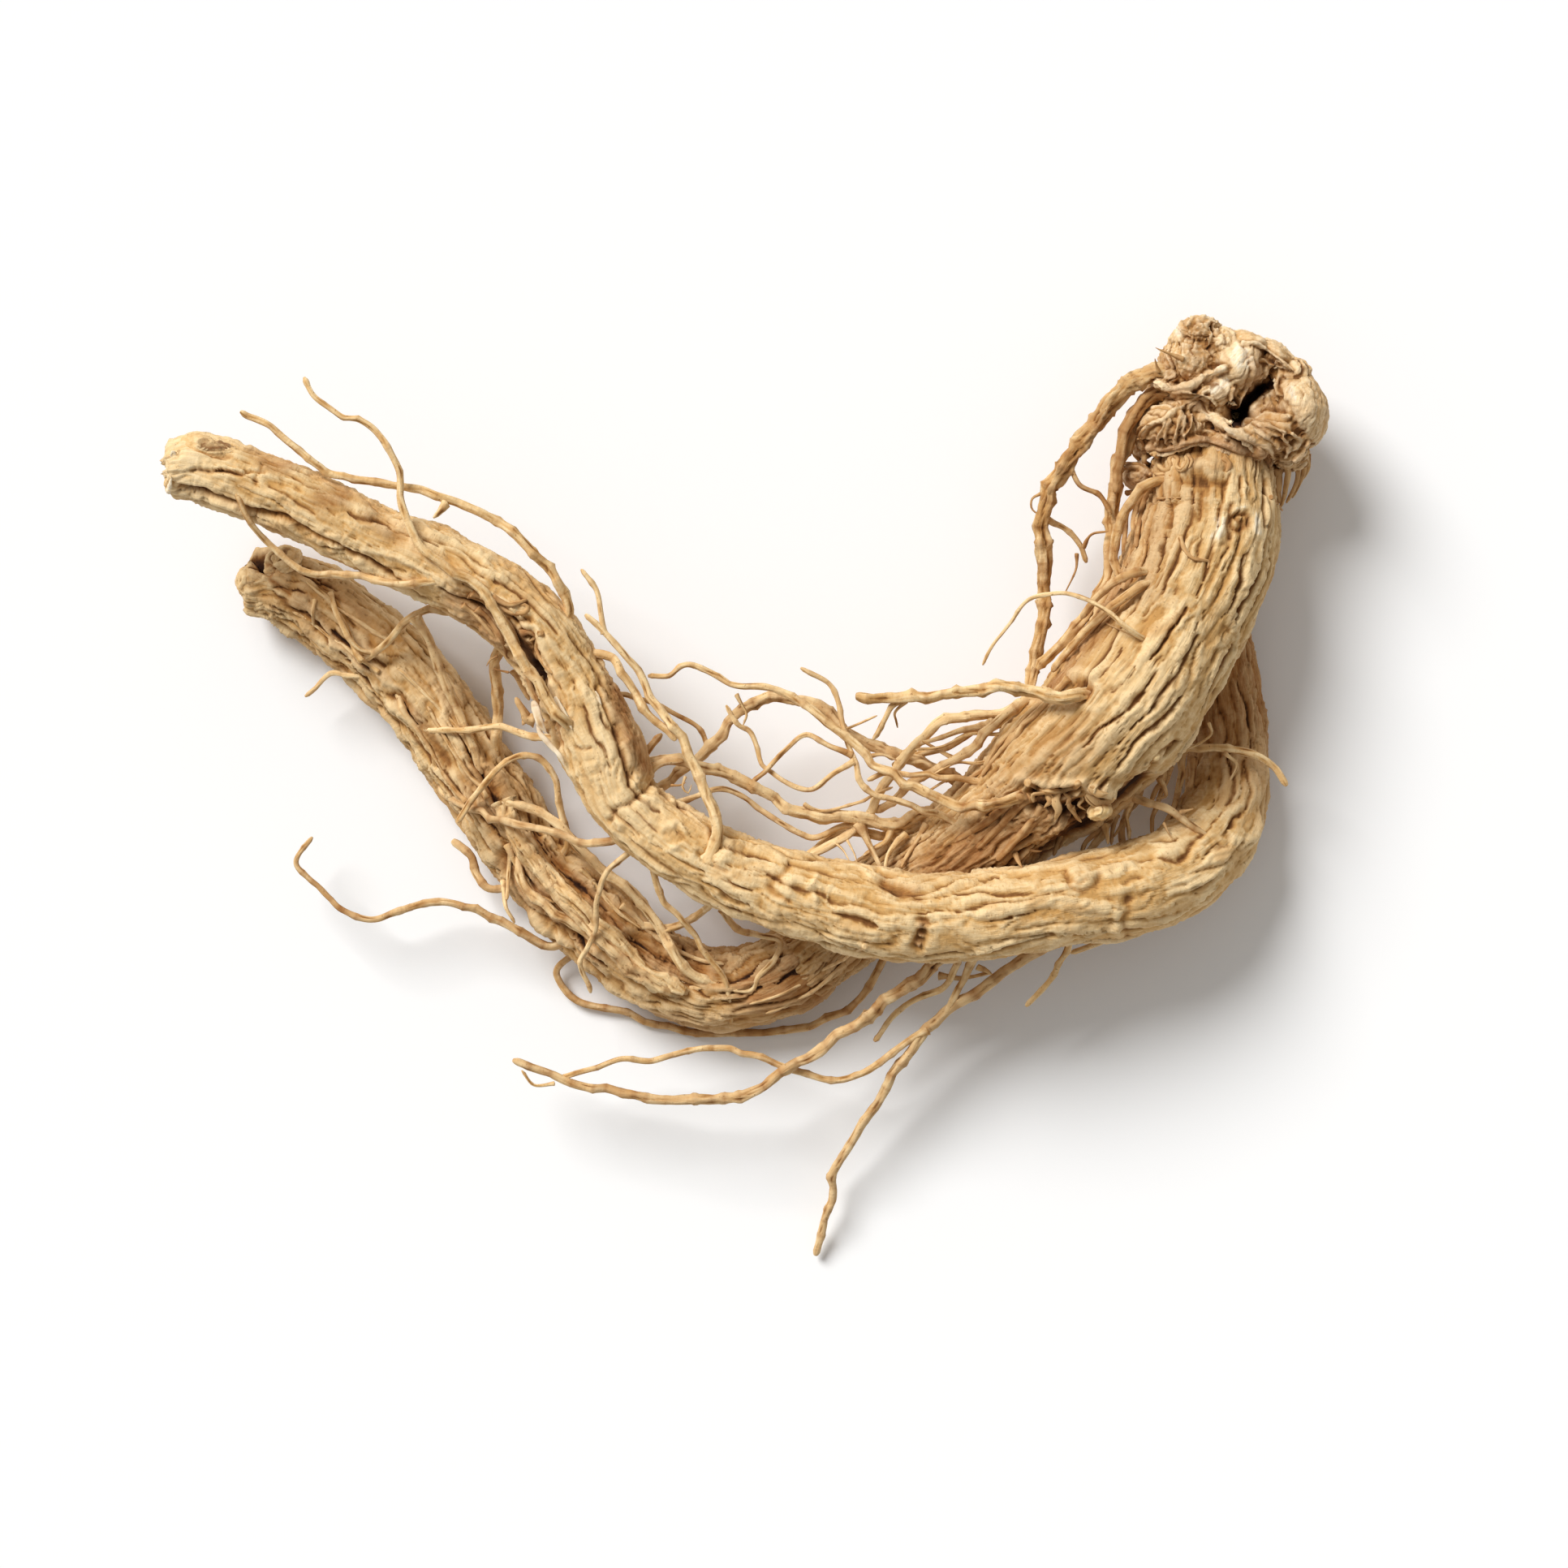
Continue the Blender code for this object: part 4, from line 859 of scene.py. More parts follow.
# each band: radius, how far it stands proud, tone (as for a mark) and where it runs
CROWN_BANDS = [
    (0.72, 0.6, -0.5, [(53.6, 60.6), (55.4, 59.2), (57.6, 58.3), (59.8, 58.7), (61.6, 59.8),
        (63.2, 60.7), (65, 61.4)]),
    (0.3, 0.25, -0.3, [(55.8, 57.2), (58.8, 57.9), (61.2, 57.6), (62.8, 57.1), (63.9, 56)]),
    (0.5, 0.35, 0.1, [(52.8, 51.2), (53.4, 52.6), (54.6, 53.4), (56.4, 53.9), (57.4, 54.9), (58.9, 55.7)]),
    (0.9, 0.35, -0.35, [(62.2, 54.8), (64.2, 53.7), (66, 52.6), (68.2, 51), (70.3, 49.6)]),
    (0.85, 0.85, 0.85, [(54.2, 49.7), (56.2, 49.2), (57.8, 49.6), (59.6, 50.3), (61.4, 50.8),
        (63.2, 50.5), (65.1, 49.7), (67, 48.9), (68.9, 48.3), (70.6, 48.9)]),
    (0.75, 0.65, 0.85, [(56.5, 48.3), (59.5, 49.1), (62, 49.4), (64.5, 48.7), (67, 47.5), (69.6, 47),
        (72, 47.8)]),
    (0.5, 0.35, 0.1, [(69.4, 54), (71.5, 54.7), (74.6, 54.3)]),
    (0.5, 0.35, 0.1, [(69, 53.3), (71.4, 53.1), (74, 52)]),
    (0.55, 0.35, 0.2, [(68.8, 52.6), (70.8, 51.5), (73, 49.8)]),
    (0.5, 0.35, 0.3, [(69.4, 51.2), (71.6, 49.8), (72.4, 48.2)]),
    (0.5, 0.4, 0.2, [(75.2, 51.8), (76.4, 50.8), (75.8, 49.7), (74.6, 49.2)]),
    (0.45, 0.4, 0.1, [(73.8, 51.2), (74.8, 49.8), (74.2, 48.4)]),
    (0.4, 0.35, 0.4, [(77.6, 50.4), (76.8, 49), (75.6, 47.8)]),
    (0.45, 0.3, 0.4, [(69.2, 63), (69.6, 61), (68.8, 58.6), (67.2, 56.2)]),
    (0.4, 0.25, 0.5, [(66.6, 58.4), (66.1, 56.8), (66.7, 55)]),
    (0.45, 0.35, 0.3, [(72.8, 62.2), (73.2, 60.8), (72.6, 59.2), (72.9, 57.6)]),
    (0.35, 0.35, -0.2, [(67.8, 65.4), (69.6, 65.2), (71.4, 64.2), (73.4, 62.6), (75.2, 61.2)]),
    (0.4, 0.3, 0.2, [(71, 62.8), (72.2, 61.6), (74, 61.6)]),
    (0.42, 0.3, 0.5, [(55, 50.2), (55.4, 51.6), (56.4, 53.2)]),
    (0.36, 0.25, 0.6, [(56.4, 50.4), (56.3, 51.8), (57.2, 53.8)]),
    (0.36, 0.25, 0.6, [(59.2, 51.4), (60.2, 52.8), (60.4, 54.6)]),
    (0.42, 0.3, 0.4, [(57.7, 50.5), (58.1, 52.4), (58.7, 54.9)]),
    (0.42, 0.4, 0.6, [(48.8, 44.4), (50, 46.6), (52.2, 47.1), (54.2, 45.8)]),
    (0.4, 0.4, 0.2, [(63.6, 68.2), (62.4, 68.9), (60.6, 68.9), (59.6, 67.8)]),
    (0.35, 0.35, 0.3, [(64, 67.2), (63, 66.4), (62.8, 65)]),
]
# hollows darkened with painted shade, stains and bleached places
CROWN_MARKS = [
    (1.2, 5.6, 1, [(67.2, 54.8), (67.9, 55.4)]),
    (0.8, 4.4, 1, [(68, 55.4), (69.6, 57.2), (70.8, 58.8)]),
    (0.6, 1.4, 0.9, [(70.8, 58.8), (72.4, 60.2), (72.7, 61.9)]),
    (1.6, 0, 0.55, [(67.4, 56.4), (69, 58.8), (70.4, 61.6)]),
    (1.4, 0, 0.45, [(70.2, 55.4), (72.2, 57.4), (73, 59.8)]),
    (0.5, 1, 1, [(62.9, 52.9), (63.6, 52.1), (64.6, 51.9)]),
    (0.4, 0.8, 1, [(65.8, 50.8), (68, 50), (69.6, 49.6)]),
    (0.35, 0.5, 0.8, [(75.4, 53.2), (76.4, 52.2), (76.8, 51.4)]),
    (0.5, 0.7, 0.8, [(55.6, 57.8), (56.4, 56.6), (59.2, 56.7), (61.6, 56.2), (62.6, 55.2)]),
    (0.5, 0.8, 0.9, [(54.8, 48.5), (57.4, 48.5), (60.2, 49.5), (62.6, 50), (65.2, 49.2), (67.6, 48.2)]),
    (1.2, 0, 0.6, [(56.4, 62.8), (58, 60.8), (60.2, 60)]),
    (3, 0, 0.5, [(60.6, 67.4), (61.6, 63.6)]),
    (1.8, 0, 0.5, [(70.4, 64), (74.6, 60.8)]),
    (1.6, 0, 0.5, [(57, 60.6), (60.6, 61)]),
    (0.3, 0.7, 0.9, [(63.3, 68), (63.8, 66.9)]),
    (1.7, 0, -0.95, [(67.2, 64), (67.8, 62.6)]),
    (1, -0.3, -1, [(63.6, 58.4), (65.2, 59.4)]),
    (1, 0, -0.9, [(74.8, 58.4), (75.4, 57.4)]),
    (0.8, 0, -0.9, [(65.4, 52.5), (66.6, 51.8)]),
    (0.7, 0, -1.2, [(58, 67.6), (58.4, 66.8)]),
    (3.4, 0, 0.5, [(70, 53.8), (74, 50.4)]),
    (2, 0, 0.4, [(72, 57.8), (73.4, 54.4)]),
    (3.2, 0, 0.52, [(65, 50.4), (69, 49.4)]),
    (4, 0, 0.58, [(54, 50), (59, 52.4)]),
    (2.6, 0, 0.55, [(58, 58), (61, 56.4)]),
    (2.6, 0, 0.6, [(51.4, 44.2), (53.4, 46.8)]),
    (1, 0.9, 1, [(54.6, 48), (57.6, 47.6), (60.4, 48.6), (64.6, 48), (67.6, 46.8), (71.4, 46.4)]),
]


def skin_height(trees, right, up, otherwise):
    """How high the skin is, in millimetres, where the camera sees (right, up)."""
    eye = Vector((LENS_OVER[0], LENS_OVER[1], LENS_HEIGHT))
    way = (Vector(seen_at(right, up, 0.0)) - eye).normalized()
    heights = [hit.z for hit, *_ in (tree.ray_cast(eye, way) for tree in trees) if hit]
    return max(heights, default=otherwise)


def fused(balls, grain):
    """A bmesh in millimetres of everything in balls, fused in one skin of even faces."""
    data = bpy.data.meshes.new("balls")
    balls.to_mesh(data)
    balls.free()
    whole = bpy.data.objects.new("balls", data)
    bpy.context.scene.collection.objects.link(whole)
    fuse = whole.modifiers.new("fuse", "REMESH")
    fuse.mode = "VOXEL"
    fuse.voxel_size = grain
    mesh = bmesh.new()
    mesh.from_mesh(whole.evaluated_get(bpy.context.evaluated_depsgraph_get()).to_mesh())
    bpy.data.objects.remove(whole)
    bpy.data.meshes.remove(data)
    return mesh


def soften(mesh, factor, rounds):
    """Moves each point towards its neighbours' middle."""
    axes = {"use_axis_x": True, "use_axis_y": True, "use_axis_z": True}
    for _ in range(rounds):
        bmesh.ops.smooth_vert(mesh, verts=mesh.verts, factor=factor, **axes)


def knot(lobes, bands, grain):
    """A knot of lobes with bands laid over them, fused in one skin."""
    balls = bmesh.new()
    for middle, sizes, turn, *_ in lobes:
        made = bmesh.ops.create_icosphere(balls, subdivisions=4, radius=1.0)["verts"]
        bmesh.ops.scale(balls, vec=sizes, verts=made)
        bmesh.ops.rotate(balls, matrix=Matrix.Rotation(math.radians(turn), 3, "Z"), verts=made)
        bmesh.ops.translate(balls, vec=seen_at(*middle), verts=made)
    tree = BVHTree.FromBMesh(balls)
    for number, (radius, proud, _, line) in enumerate(bands):
        lift = 1.5 * proud - 0.4 * radius
        route = [(*spot, skin_height([tree], *spot, CROWN_HEIGHT) + lift, radius) for spot in line]
        centres, across, side, _, radii, _, shares = with_ends(along_route(route, 0.5 * radius), radius)
        verts, ring, _, outward = hose(balls, across, side, BAND_SIDES)
        radii = radii * shares * (1.0 + 0.3 * noise_along(np.arange(len(radii)) * 0.23, number))
        for vert, place in zip(verts, centres[ring] + outward * radii[ring, None]):
            vert.co = place
        bmesh.ops.remove_doubles(balls, verts=verts, dist=WELD)
    mesh = fused(balls, grain)
    soften(mesh, 0.5, FUSED_ROUNDS)
    return mesh


def points_of(mesh):
    """Every point's place and outward direction."""
    mesh.normal_update()
    return np.array([v.co[:] for v in mesh.verts]), np.array([v.normal[:] for v in mesh.verts])


def hollows(mesh, places, outward):
    """How far each point stands over (or under) its neighbourhood, in millimetres."""
    softened = mesh.copy()
    soften(softened, 1.0, HOLLOW_ROUNDS)
    soft = np.array([v.co[:] for v in softened.verts])
    softened.free()
    return ((places - soft) * outward).sum(1)


def wrinkled_knot(mesh, lobes, bands, marks, seed):
    """Wrinkles each lobe of a knot along its grain, adds the marks and stores what the bark reads."""
    places, outward = points_of(mesh)
    nearest = np.full(len(places), 1e9)
    along, across, wrinkle, grit, bleached, shift = np.zeros((6, len(places)))
    # each point belongs to the lobe that it is deepest in
    for number, (middle, sizes, turn, run, deep, rough, pale) in enumerate(lobes):
        away = places - seen_at(*middle)
        a, r = math.radians(turn), math.radians(run)
        x = (away[:, 0] * math.cos(a) + away[:, 1] * math.sin(a)) / sizes[0]
        y = (away[:, 1] * math.cos(a) - away[:, 0] * math.sin(a)) / sizes[1]
        far = np.sqrt(x * x + y * y + (away[:, 2] / sizes[2]) ** 2)
        mine = far < nearest
        nearest = np.where(mine, far, nearest)
        along = np.where(mine, away[:, 0] * math.cos(r) + away[:, 1] * math.sin(r), along)
        across = np.where(mine, away[:, 1] * math.cos(r) - away[:, 0] * math.sin(r), across)
        wrinkle, grit = np.where(mine, deep, wrinkle), np.where(mine, rough, grit)
        bleached, shift = np.where(mine, pale, bleached), np.where(mine, number * LOBE_SHIFT, shift)
    right, up, facing = as_seen(places, outward)
    edge, band_tone = np.zeros((2, len(places)))
    # the skin is smooth on a band and sinks along both its edges
    for radius, _, tone, line in bands:
        near = near_line(right, up, line) / radius
        wrinkle = wrinkle * np.clip(near - 0.4, 0.25, 1.0)
        outline = np.exp(-(((near - 1.3) * radius / OUTLINE_WIDTH) ** 2)) * facing
        edge = np.maximum(edge * np.clip(near, 0.0, 1.0), outline)
        band_tone = np.where(near < 1.1, tone * facing, band_tone)
    warp = rounded_noise(places * 0.3, seed) + 0.5 * rounded_noise(places * 0.8, seed + 1)
    slide = rounded_noise(places * 0.4, seed + 2)
    relief, furrow_shade = np.zeros((2, len(places)))
    for width, length, share in CROWN_WRINKLES:
        u = (across + 0.8 * places[:, 2]) / width + 0.55 * warp * (1.6 / width) + shift
        v = along / length + 0.5 * slide
        gap, crease, own, _, crosswise = pillows(u, v, 10**6, seed + int(10 * width))
        gap = gap * width
        deep = np.clip(crease * 1.6 - 0.2, 0.1, 1.0) * (1.0 - 0.6 * crosswise)
        rise = 1.0 - np.exp(-gap / (0.28 * width))
        relief += share * wrinkle * (deep * (rise - 0.6) + 0.5 * (own - 0.5) * rise)
        line = deep * np.exp(-((gap / (0.2 * width)) ** 2)) * np.clip(wrinkle / 0.4, 0.0, 1.0)
        furrow_shade = np.maximum(furrow_shade, 0.75 * share * line)
    crumbs, finer_crumbs = rounded_noise(places * 0.9, seed + 3), rounded_noise(places * 2.1, seed + 4)
    relief += grit * (1.6 * (np.abs(crumbs) + 0.6 * np.abs(finer_crumbs)) - 0.8)
    relief += 0.35 * rounded_noise(places * 0.3, seed + 5) + 0.12 * rounded_noise(places * 0.9, seed + 6)
    relief += 0.05 * rounded_noise(places * 2.0, seed + 7)
    relief -= 0.2 * edge
    depth, stain_and_shade, bleach = marked(places, outward, marks)
    stain_and_shade, bleach = np.maximum(stain_and_shade, band_tone), np.maximum(bleach, -band_tone)
    # a shallow mark sinks inwards, and a deep one straight down, away from the camera
    sunk = np.clip(depth / DEEPEST, 0.0, 1.0)[:, None]
    way = outward * (1.0 - sunk) + np.array((0.0, 0.0, 1.0)) * sunk
    places = places + outward * relief[:, None] - way * depth[:, None]
    for vert, place in zip(mesh.verts, places):
        vert.co = place
    places, outward = points_of(mesh)
    hollow = hollows(mesh, places, outward)
    # painted shade along the edges of the bands and in the low places; high places count as crests, which
    # the bark paints paler
    furrow_shade = np.maximum(furrow_shade, 0.4 * edge)
    furrow_shade = np.clip(furrow_shade + 0.6 * np.clip(-hollow / 0.45 - 0.2, 0.0, 1.0), 0.0, 1.0)
    crest = np.clip(0.45 + 0.6 * hollow / 0.4 + 0.35 * (own - 0.5), 0.0, 1.0)
    places[:, 2] = np.maximum(places[:, 2], FLOOR_GAP)
    bark_layers(mesh)
    # the sides and the underside get painted shade
    placed(mesh, mesh.verts, places, np.column_stack((across, places[:, 2], along)), {
        "furrow_shade": np.maximum(furrow_shade, pits(depth, 1.3)),
        "crest": crest,
        "stain_and_shade": np.clip(np.maximum(stain_and_shade, underside_shade(outward)), 0.0, 1.0),
        "bleach": np.clip(bleach + bleached * crest, 0.0, 1.0),
    })


crown_mesh = knot(CROWN_LOBES, CROWN_BANDS, CROWN_GRAIN)
wrinkled_knot(crown_mesh, CROWN_LOBES, CROWN_BANDS, CROWN_MARKS, CROWN_SEED)
crown_bark = bark_material(
    "crown_bark",
    cream=(0.94, 0.74, 0.47), tan=(0.645, 0.395, 0.165), ochre=(0.51, 0.26, 0.077),
    brown=(0.20, 0.08, 0.021), deep_shade=(0.02, 0.006, 0.002), patches=0.6, specks=0.4, bump=0.8,
)
finished("crown", crown_mesh, crown_bark, thick=True)

# The knobs that the two cut ends dried into, and the waxy yellow nub by the broken flap.
END_LOBES = [
    ((-74, 32.6, 8.6), (3.2, 2.4, 3.6), 30, 30, 0.5, 0.1, 0.2),
    ((-79, 29.8, 7), (2, 2.6, 3.8), 10, 60, 0.5, 0.1, 0.1),
    ((-76.4, 27.2, 6), (3, 2.2, 3.8), 30, 30, 0.4, 0.08, 0.2),
    ((-85, 49.3, 25), (4.8, 2.2, 3.3), -14, -20, 0.5, 0.1, 0.3),
    ((-89, 47.8, 25.2), (2.2, 2.2, 3.6), 20, 60, 0.4, 0.24, 0.5),
    ((-90, 44.8, 24.4), (1.6, 1.8, 3.4), -20, 60, 0.4, 0.1, 0.5),
]
END_BANDS = [
    (0.45, 0.3, -0.9, [(-91, 43.4), (-90.6, 45.2), (-91, 47), (-90.4, 49)]),
]
END_MARKS = [
    (0.5, 0.8, 1, [(-76.8, 32.4), (-75.6, 31.2), (-74.6, 30.4)]),
    (0.5, 0.5, 0.8, [(-90.4, 46.6), (-88.6, 46)]),
]
NUB_GRAIN = 0.13
NUB_TOP = skin_height(thick_roots, 46.2, -3.0, 20.0) + 0.3
NUB_SHOULDER = skin_height(thick_roots, 46.6, -3.4, 20.0) + 0.4
STUB_HEIGHT = skin_height(thick_roots, 55.0, 4.0, 22.0)
NUB_LOBES = [
    ((46.6, -4, NUB_TOP), (1.8, 1.5, 2), 25, 60, 0.3, 0.1, 0),
    ((47.1, -3.2, NUB_SHOULDER), (1.3, 1.1, 1.7), -10, 20, 0.3, 0.1, 0),
    ((55, 4, STUB_HEIGHT), (0.6, 0.55, 0.7), 0, 0, 0.03, 0.05, 0.6),
]
NUB_MARKS = [
    (0.5, 0.2, 0.9, [(44.9, -3.6), (46.2, -2.9), (48.6, -3)]),
    (0.3, 0.3, 0.6, [(45.4, -4.4), (46.4, -4)]),
]
ends_mesh = knot(END_LOBES, END_BANDS, CROWN_GRAIN)
wrinkled_knot(ends_mesh, END_LOBES, END_BANDS, END_MARKS, CROWN_SEED + 20)
finished("end_knobs", ends_mesh, branch_bark)
nub_mesh = knot(NUB_LOBES, [], NUB_GRAIN)
wrinkled_knot(nub_mesh, NUB_LOBES, [], NUB_MARKS, CROWN_SEED + 40)
nub_skin = bark_material(
    "nub_skin",
    cream=(0.90, 0.69, 0.39), tan=(0.80, 0.55, 0.24), ochre=(0.66, 0.40, 0.13),
    brown=(0.30, 0.13, 0.03), deep_shade=(0.06, 0.02, 0.006), patches=0.3, specks=0.2, bump=0.3,
)
finished("nub", nub_mesh, nub_skin)

# The rootlets: thin side roots, dried wiry and kinked. Each tapers from a flared base that is
# sunk in the root that it grows from. Rows give the two diameters and the route, and may end with
# how flat it is, where one is round, and how much browner it is than the rest.
ROOTLET_GAP = 0.45
ROOTLET_SIDES = 7
ROOTLET_DOME = 0.15
SIDES_PER_MILLIMETRE = 9.0
JOINT_GAPS = (1.3, 4.2)
JOINT_LENGTH = 0.3
KNUCKLE_LENGTH = 0.45
FLARE_LENGTH = 0.9
WRINKLE_LENGTH = 2.6
BAND_LENGTH = 2.2
# where the rootlets get painted shade, in the tangles that lie in shade: middle, reach and how much
SHADED_CORNERS = [
    (36, -6, 9.5, 0.45), (51, 50, 8, 0.4), (48, 32, 9, 0.35), (-38, 20, 8, 0.3),
]
# those that hang from the crown and hug the taproot's left flank
FLANK_ROOTLETS = [
    (2.8, 1.6, [(58, 61, 16), (54, 60.4, 18), (50.5, 58.3, 18.5), (47, 54.5, 18), (42, 47.6, 16.5),
        (39.2, 42.8, 15.5), (38.3, 38, 14.5), (38.6, 31, 13), (38.4, 26, 12), (37.6, 21, 11.5),
        (36.4, 14, 11)], 1, 0.2),
    (0.8, 0.7, [(42, 47.6, 16.5), (43.7, 44.2, 16.5), (46.5, 42.6, 16), (48.3, 40, 16)]),
    (0.9, 0.8, [(38.4, 39.6, 14.6), (41.5, 37.8, 13), (43.5, 35.3, 12), (44.6, 32.8, 11)]),
    (2.2, 1.4, [(60.5, 55.5, 13), (53, 55.3, 16.5), (51.3, 51.5, 16), (49.2, 46.5, 15), (48.5, 41, 14.5),
        (48.4, 35.5, 14.5), (47.5, 30, 15), (45.2, 25.6, 16), (41.8, 21.4, 16.5), (37.5, 17, 16)], 1, 0.35),
    (1.6, 1.2, [(59, 45, 14.5), (54.3, 44.4, 19.6), (50, 39.5, 19.2), (49, 34, 18.5),
        (50.5, 29, 19)], 1, 0.2),
    (1.4, 1, [(59, 31, 19.5), (53, 31.3, 25.6), (49.5, 30.2, 25.5), (46.3, 27.8, 24), (44, 24.5, 22)]),
    (1.5, 1, [(58.5, 30, 19.5), (53.5, 29.5, 26.2), (49.5, 26.7, 26.5), (45.8, 23.8, 25), (42.6, 20, 23),
        (39.5, 16.8, 21)]),
    (0.85, 0.45, [(57, 19.5, 23.5), (52, 22.3, 29.8), (48, 25.3, 30), (44, 27.4, 29), (40, 28.1, 28),
        (36.2, 27.3, 27), (33.6, 24.3, 26), (31, 21, 25), (29.3, 17.7, 24)]),
    (2, 1.4, [(47.5, 13.5, 21), (43.6, 13, 28.9), (40, 12.7, 29.2), (35.5, 14.2, 28.2), (30, 14.2, 27.4),
        (23, 13.2, 26.6), (16, 12.7, 26), (10.7, 12.9, 25.6)]),
    (0.8, 0.7, [(20.5, 13, 26.3), (17, 12.1, 25.4), (14.8, 9.6, 24.4), (13, 6.8, 23.6)]),
]
# the tangle in the crook between taproot and branch
CROOK_ROOTLETS = [
    (1.8, 1.4, [(29, -3, 12), (25, 1.4, 13), (21, 2.7, 14), (17, 4.3, 15), (12.5, 5.9, 15.5),
        (8.5, 8.8, 15.5), (4.5, 11.6, 15.5), (-1.5, 13, 15.2), (-6, 11.4, 14.5), (-9.5, 7.6, 13.8),
        (-13.5, 3, 13), (-18, -0.2, 12.4), (-24, -3, 17)]),
    (1.8, 0.7, [(39.5, 0, 17.5), (35.2, -1.5, 23.6), (31, -3.4, 24.6), (26, -3.2, 24), (20, -0.7, 23.2),
        (15, 1.8, 22.4), (10, 6, 21.6), (4, 11.2, 20.8), (-1.5, 14.2, 20.2), (-7.6, 14.8, 19.8),
        (-13.4, 17.6, 19.8), (-17, 16, 19.8), (-20, 15.8, 19.8)]),
    (1.1, 0.7, [(33, -12, 16), (28.5, -8.7, 18.3), (24, -5, 18.7), (17.5, -2.8, 19.6), (12.2, -0.6, 20),
        (10.4, 3.4, 20.2), (9, 8, 20), (8.2, 12, 20), (6.5, 14.9, 20), (2.5, 17, 20)]),
    (1.9, 1.5, [(24, -5, 12), (20, -4.2, 14.6), (17, -6, 15.6), (14, -6.1, 16.2), (10.5, -4.8, 16.8),
        (4, -4.8, 17.6), (-1, -2.9, 18.2), (-4.6, 0, 18.8), (-11, 2.3, 19.6), (-15.5, 3.4, 20),
        (-21.5, 2.6, 20.4)]),
    (1.6, 1.2, [(41, 9.5, 16), (36, 12.2, 15.2), (32, 10.6, 15.5), (26.5, 9.6, 16.5), (23, 9.1, 17),
        (19.6, 6, 17.2), (16.4, 1.8, 17), (13.4, -2, 16.6), (11, -6.5, 16), (4, -10.6, 17.2)]),
    (1.2, 0.9, [(37, 7, 14.5), (33, 9, 12.8), (28.4, 8, 13.6), (24.5, 5.8, 14), (20, 4.6, 14),
        (16, 3, 13.8)]),
    (1.5, 1, [(39, 13.5, 20), (34.5, 11.6, 20.4), (31, 9, 20.2), (28, 5.4, 19.6), (23.5, 2.7, 18.6),
        (20.3, 1, 17.8), (17.5, -1.2, 17), (13.5, -4, 16)]),
    (1, 0.8, [(33, -2, 17.5), (28, 0.4, 19.5), (22.5, 1.3, 20.2), (17, 1.4, 20.4), (14.6, 1.5, 20.6),
        (12.5, 0.5, 20.8)]),
    (0.8, 0.7, [(10.1, 4.3, 20.2), (7, 5.5, 20), (3.3, 7.2, 19.6), (0, 4.9, 19.2), (-4.8, 0.2, 18.8)]),
    (0.8, 0.7, [(10.4, 3.4, 20.2), (7.5, 1.6, 19), (4, -0.9, 18.4), (0, 0.4, 18.2), (-3, 3, 18.2),
        (-4.8, 7.6, 18.4), (-6.8, 8.9, 18.6), (-8.7, 11.4, 18.8)]),
    (0.9, 0.8, [(15.5, -6.05, 15.9), (9, -6.1, 16), (4, -8.2, 16.6), (-1, -5.5, 17.2), (-6, -1.8, 17.8),
        (-9.5, -0.8, 18.2), (-13, -1.8, 18.6), (-18, -3.4, 19.2)]),
    (1.5, 1.2, [(20, -11, 12), (15.5, -7.8, 14), (8.5, -7.4, 14.6), (4, -10, 15), (0, -14, 18.5)]),
    (0.8, 0.7, [(-29.5, 13.5, 20.5), (-22, 13, 15.5), (-16, 10.2, 13.5), (-12.4, 8.2, 12.6),
        (-11, 5, 12.6)]),
    (2.3, 1.3, [(41, -2.5, 18), (37.5, -5.8, 19.5), (34, -8.6, 18.5), (30.5, -11.7, 17), (27, -14, 16)]),
    (1.5, 1.2, [(36, -4, 18), (32, -7.4, 18.6), (28.5, -9.5, 17.6), (24.5, -13.8, 16)]),
    (1.3, 1, [(50, 2, 16), (48.4, -5, 13.4), (45.5, -9.5, 14.4), (43.5, -13, 16)]),
    (1.2, 1, [(52, 6, 15), (52.6, 0.5, 11.8), (51.2, -3.5, 11.6), (49.6, -8, 12.6), (49.5, -12, 14)]),
    (1.3, 0.9, [(50.4, -1.2, 16), (53.5, -2.7, 18.6), (56.8, -3.7, 19), (59.6, -5.6, 18.4),
        (62.4, -8, 17.2), (63, -10.6, 15)]),
    (1.3, 1, [(53, 8, 15.5), (57, 4.8, 13.4), (60, 5.1, 13.6), (65, 5, 14.2), (69.6, 4.5, 14.4),
        (72.6, 2.7, 14.2), (74.3, -0.2, 14)]),
]
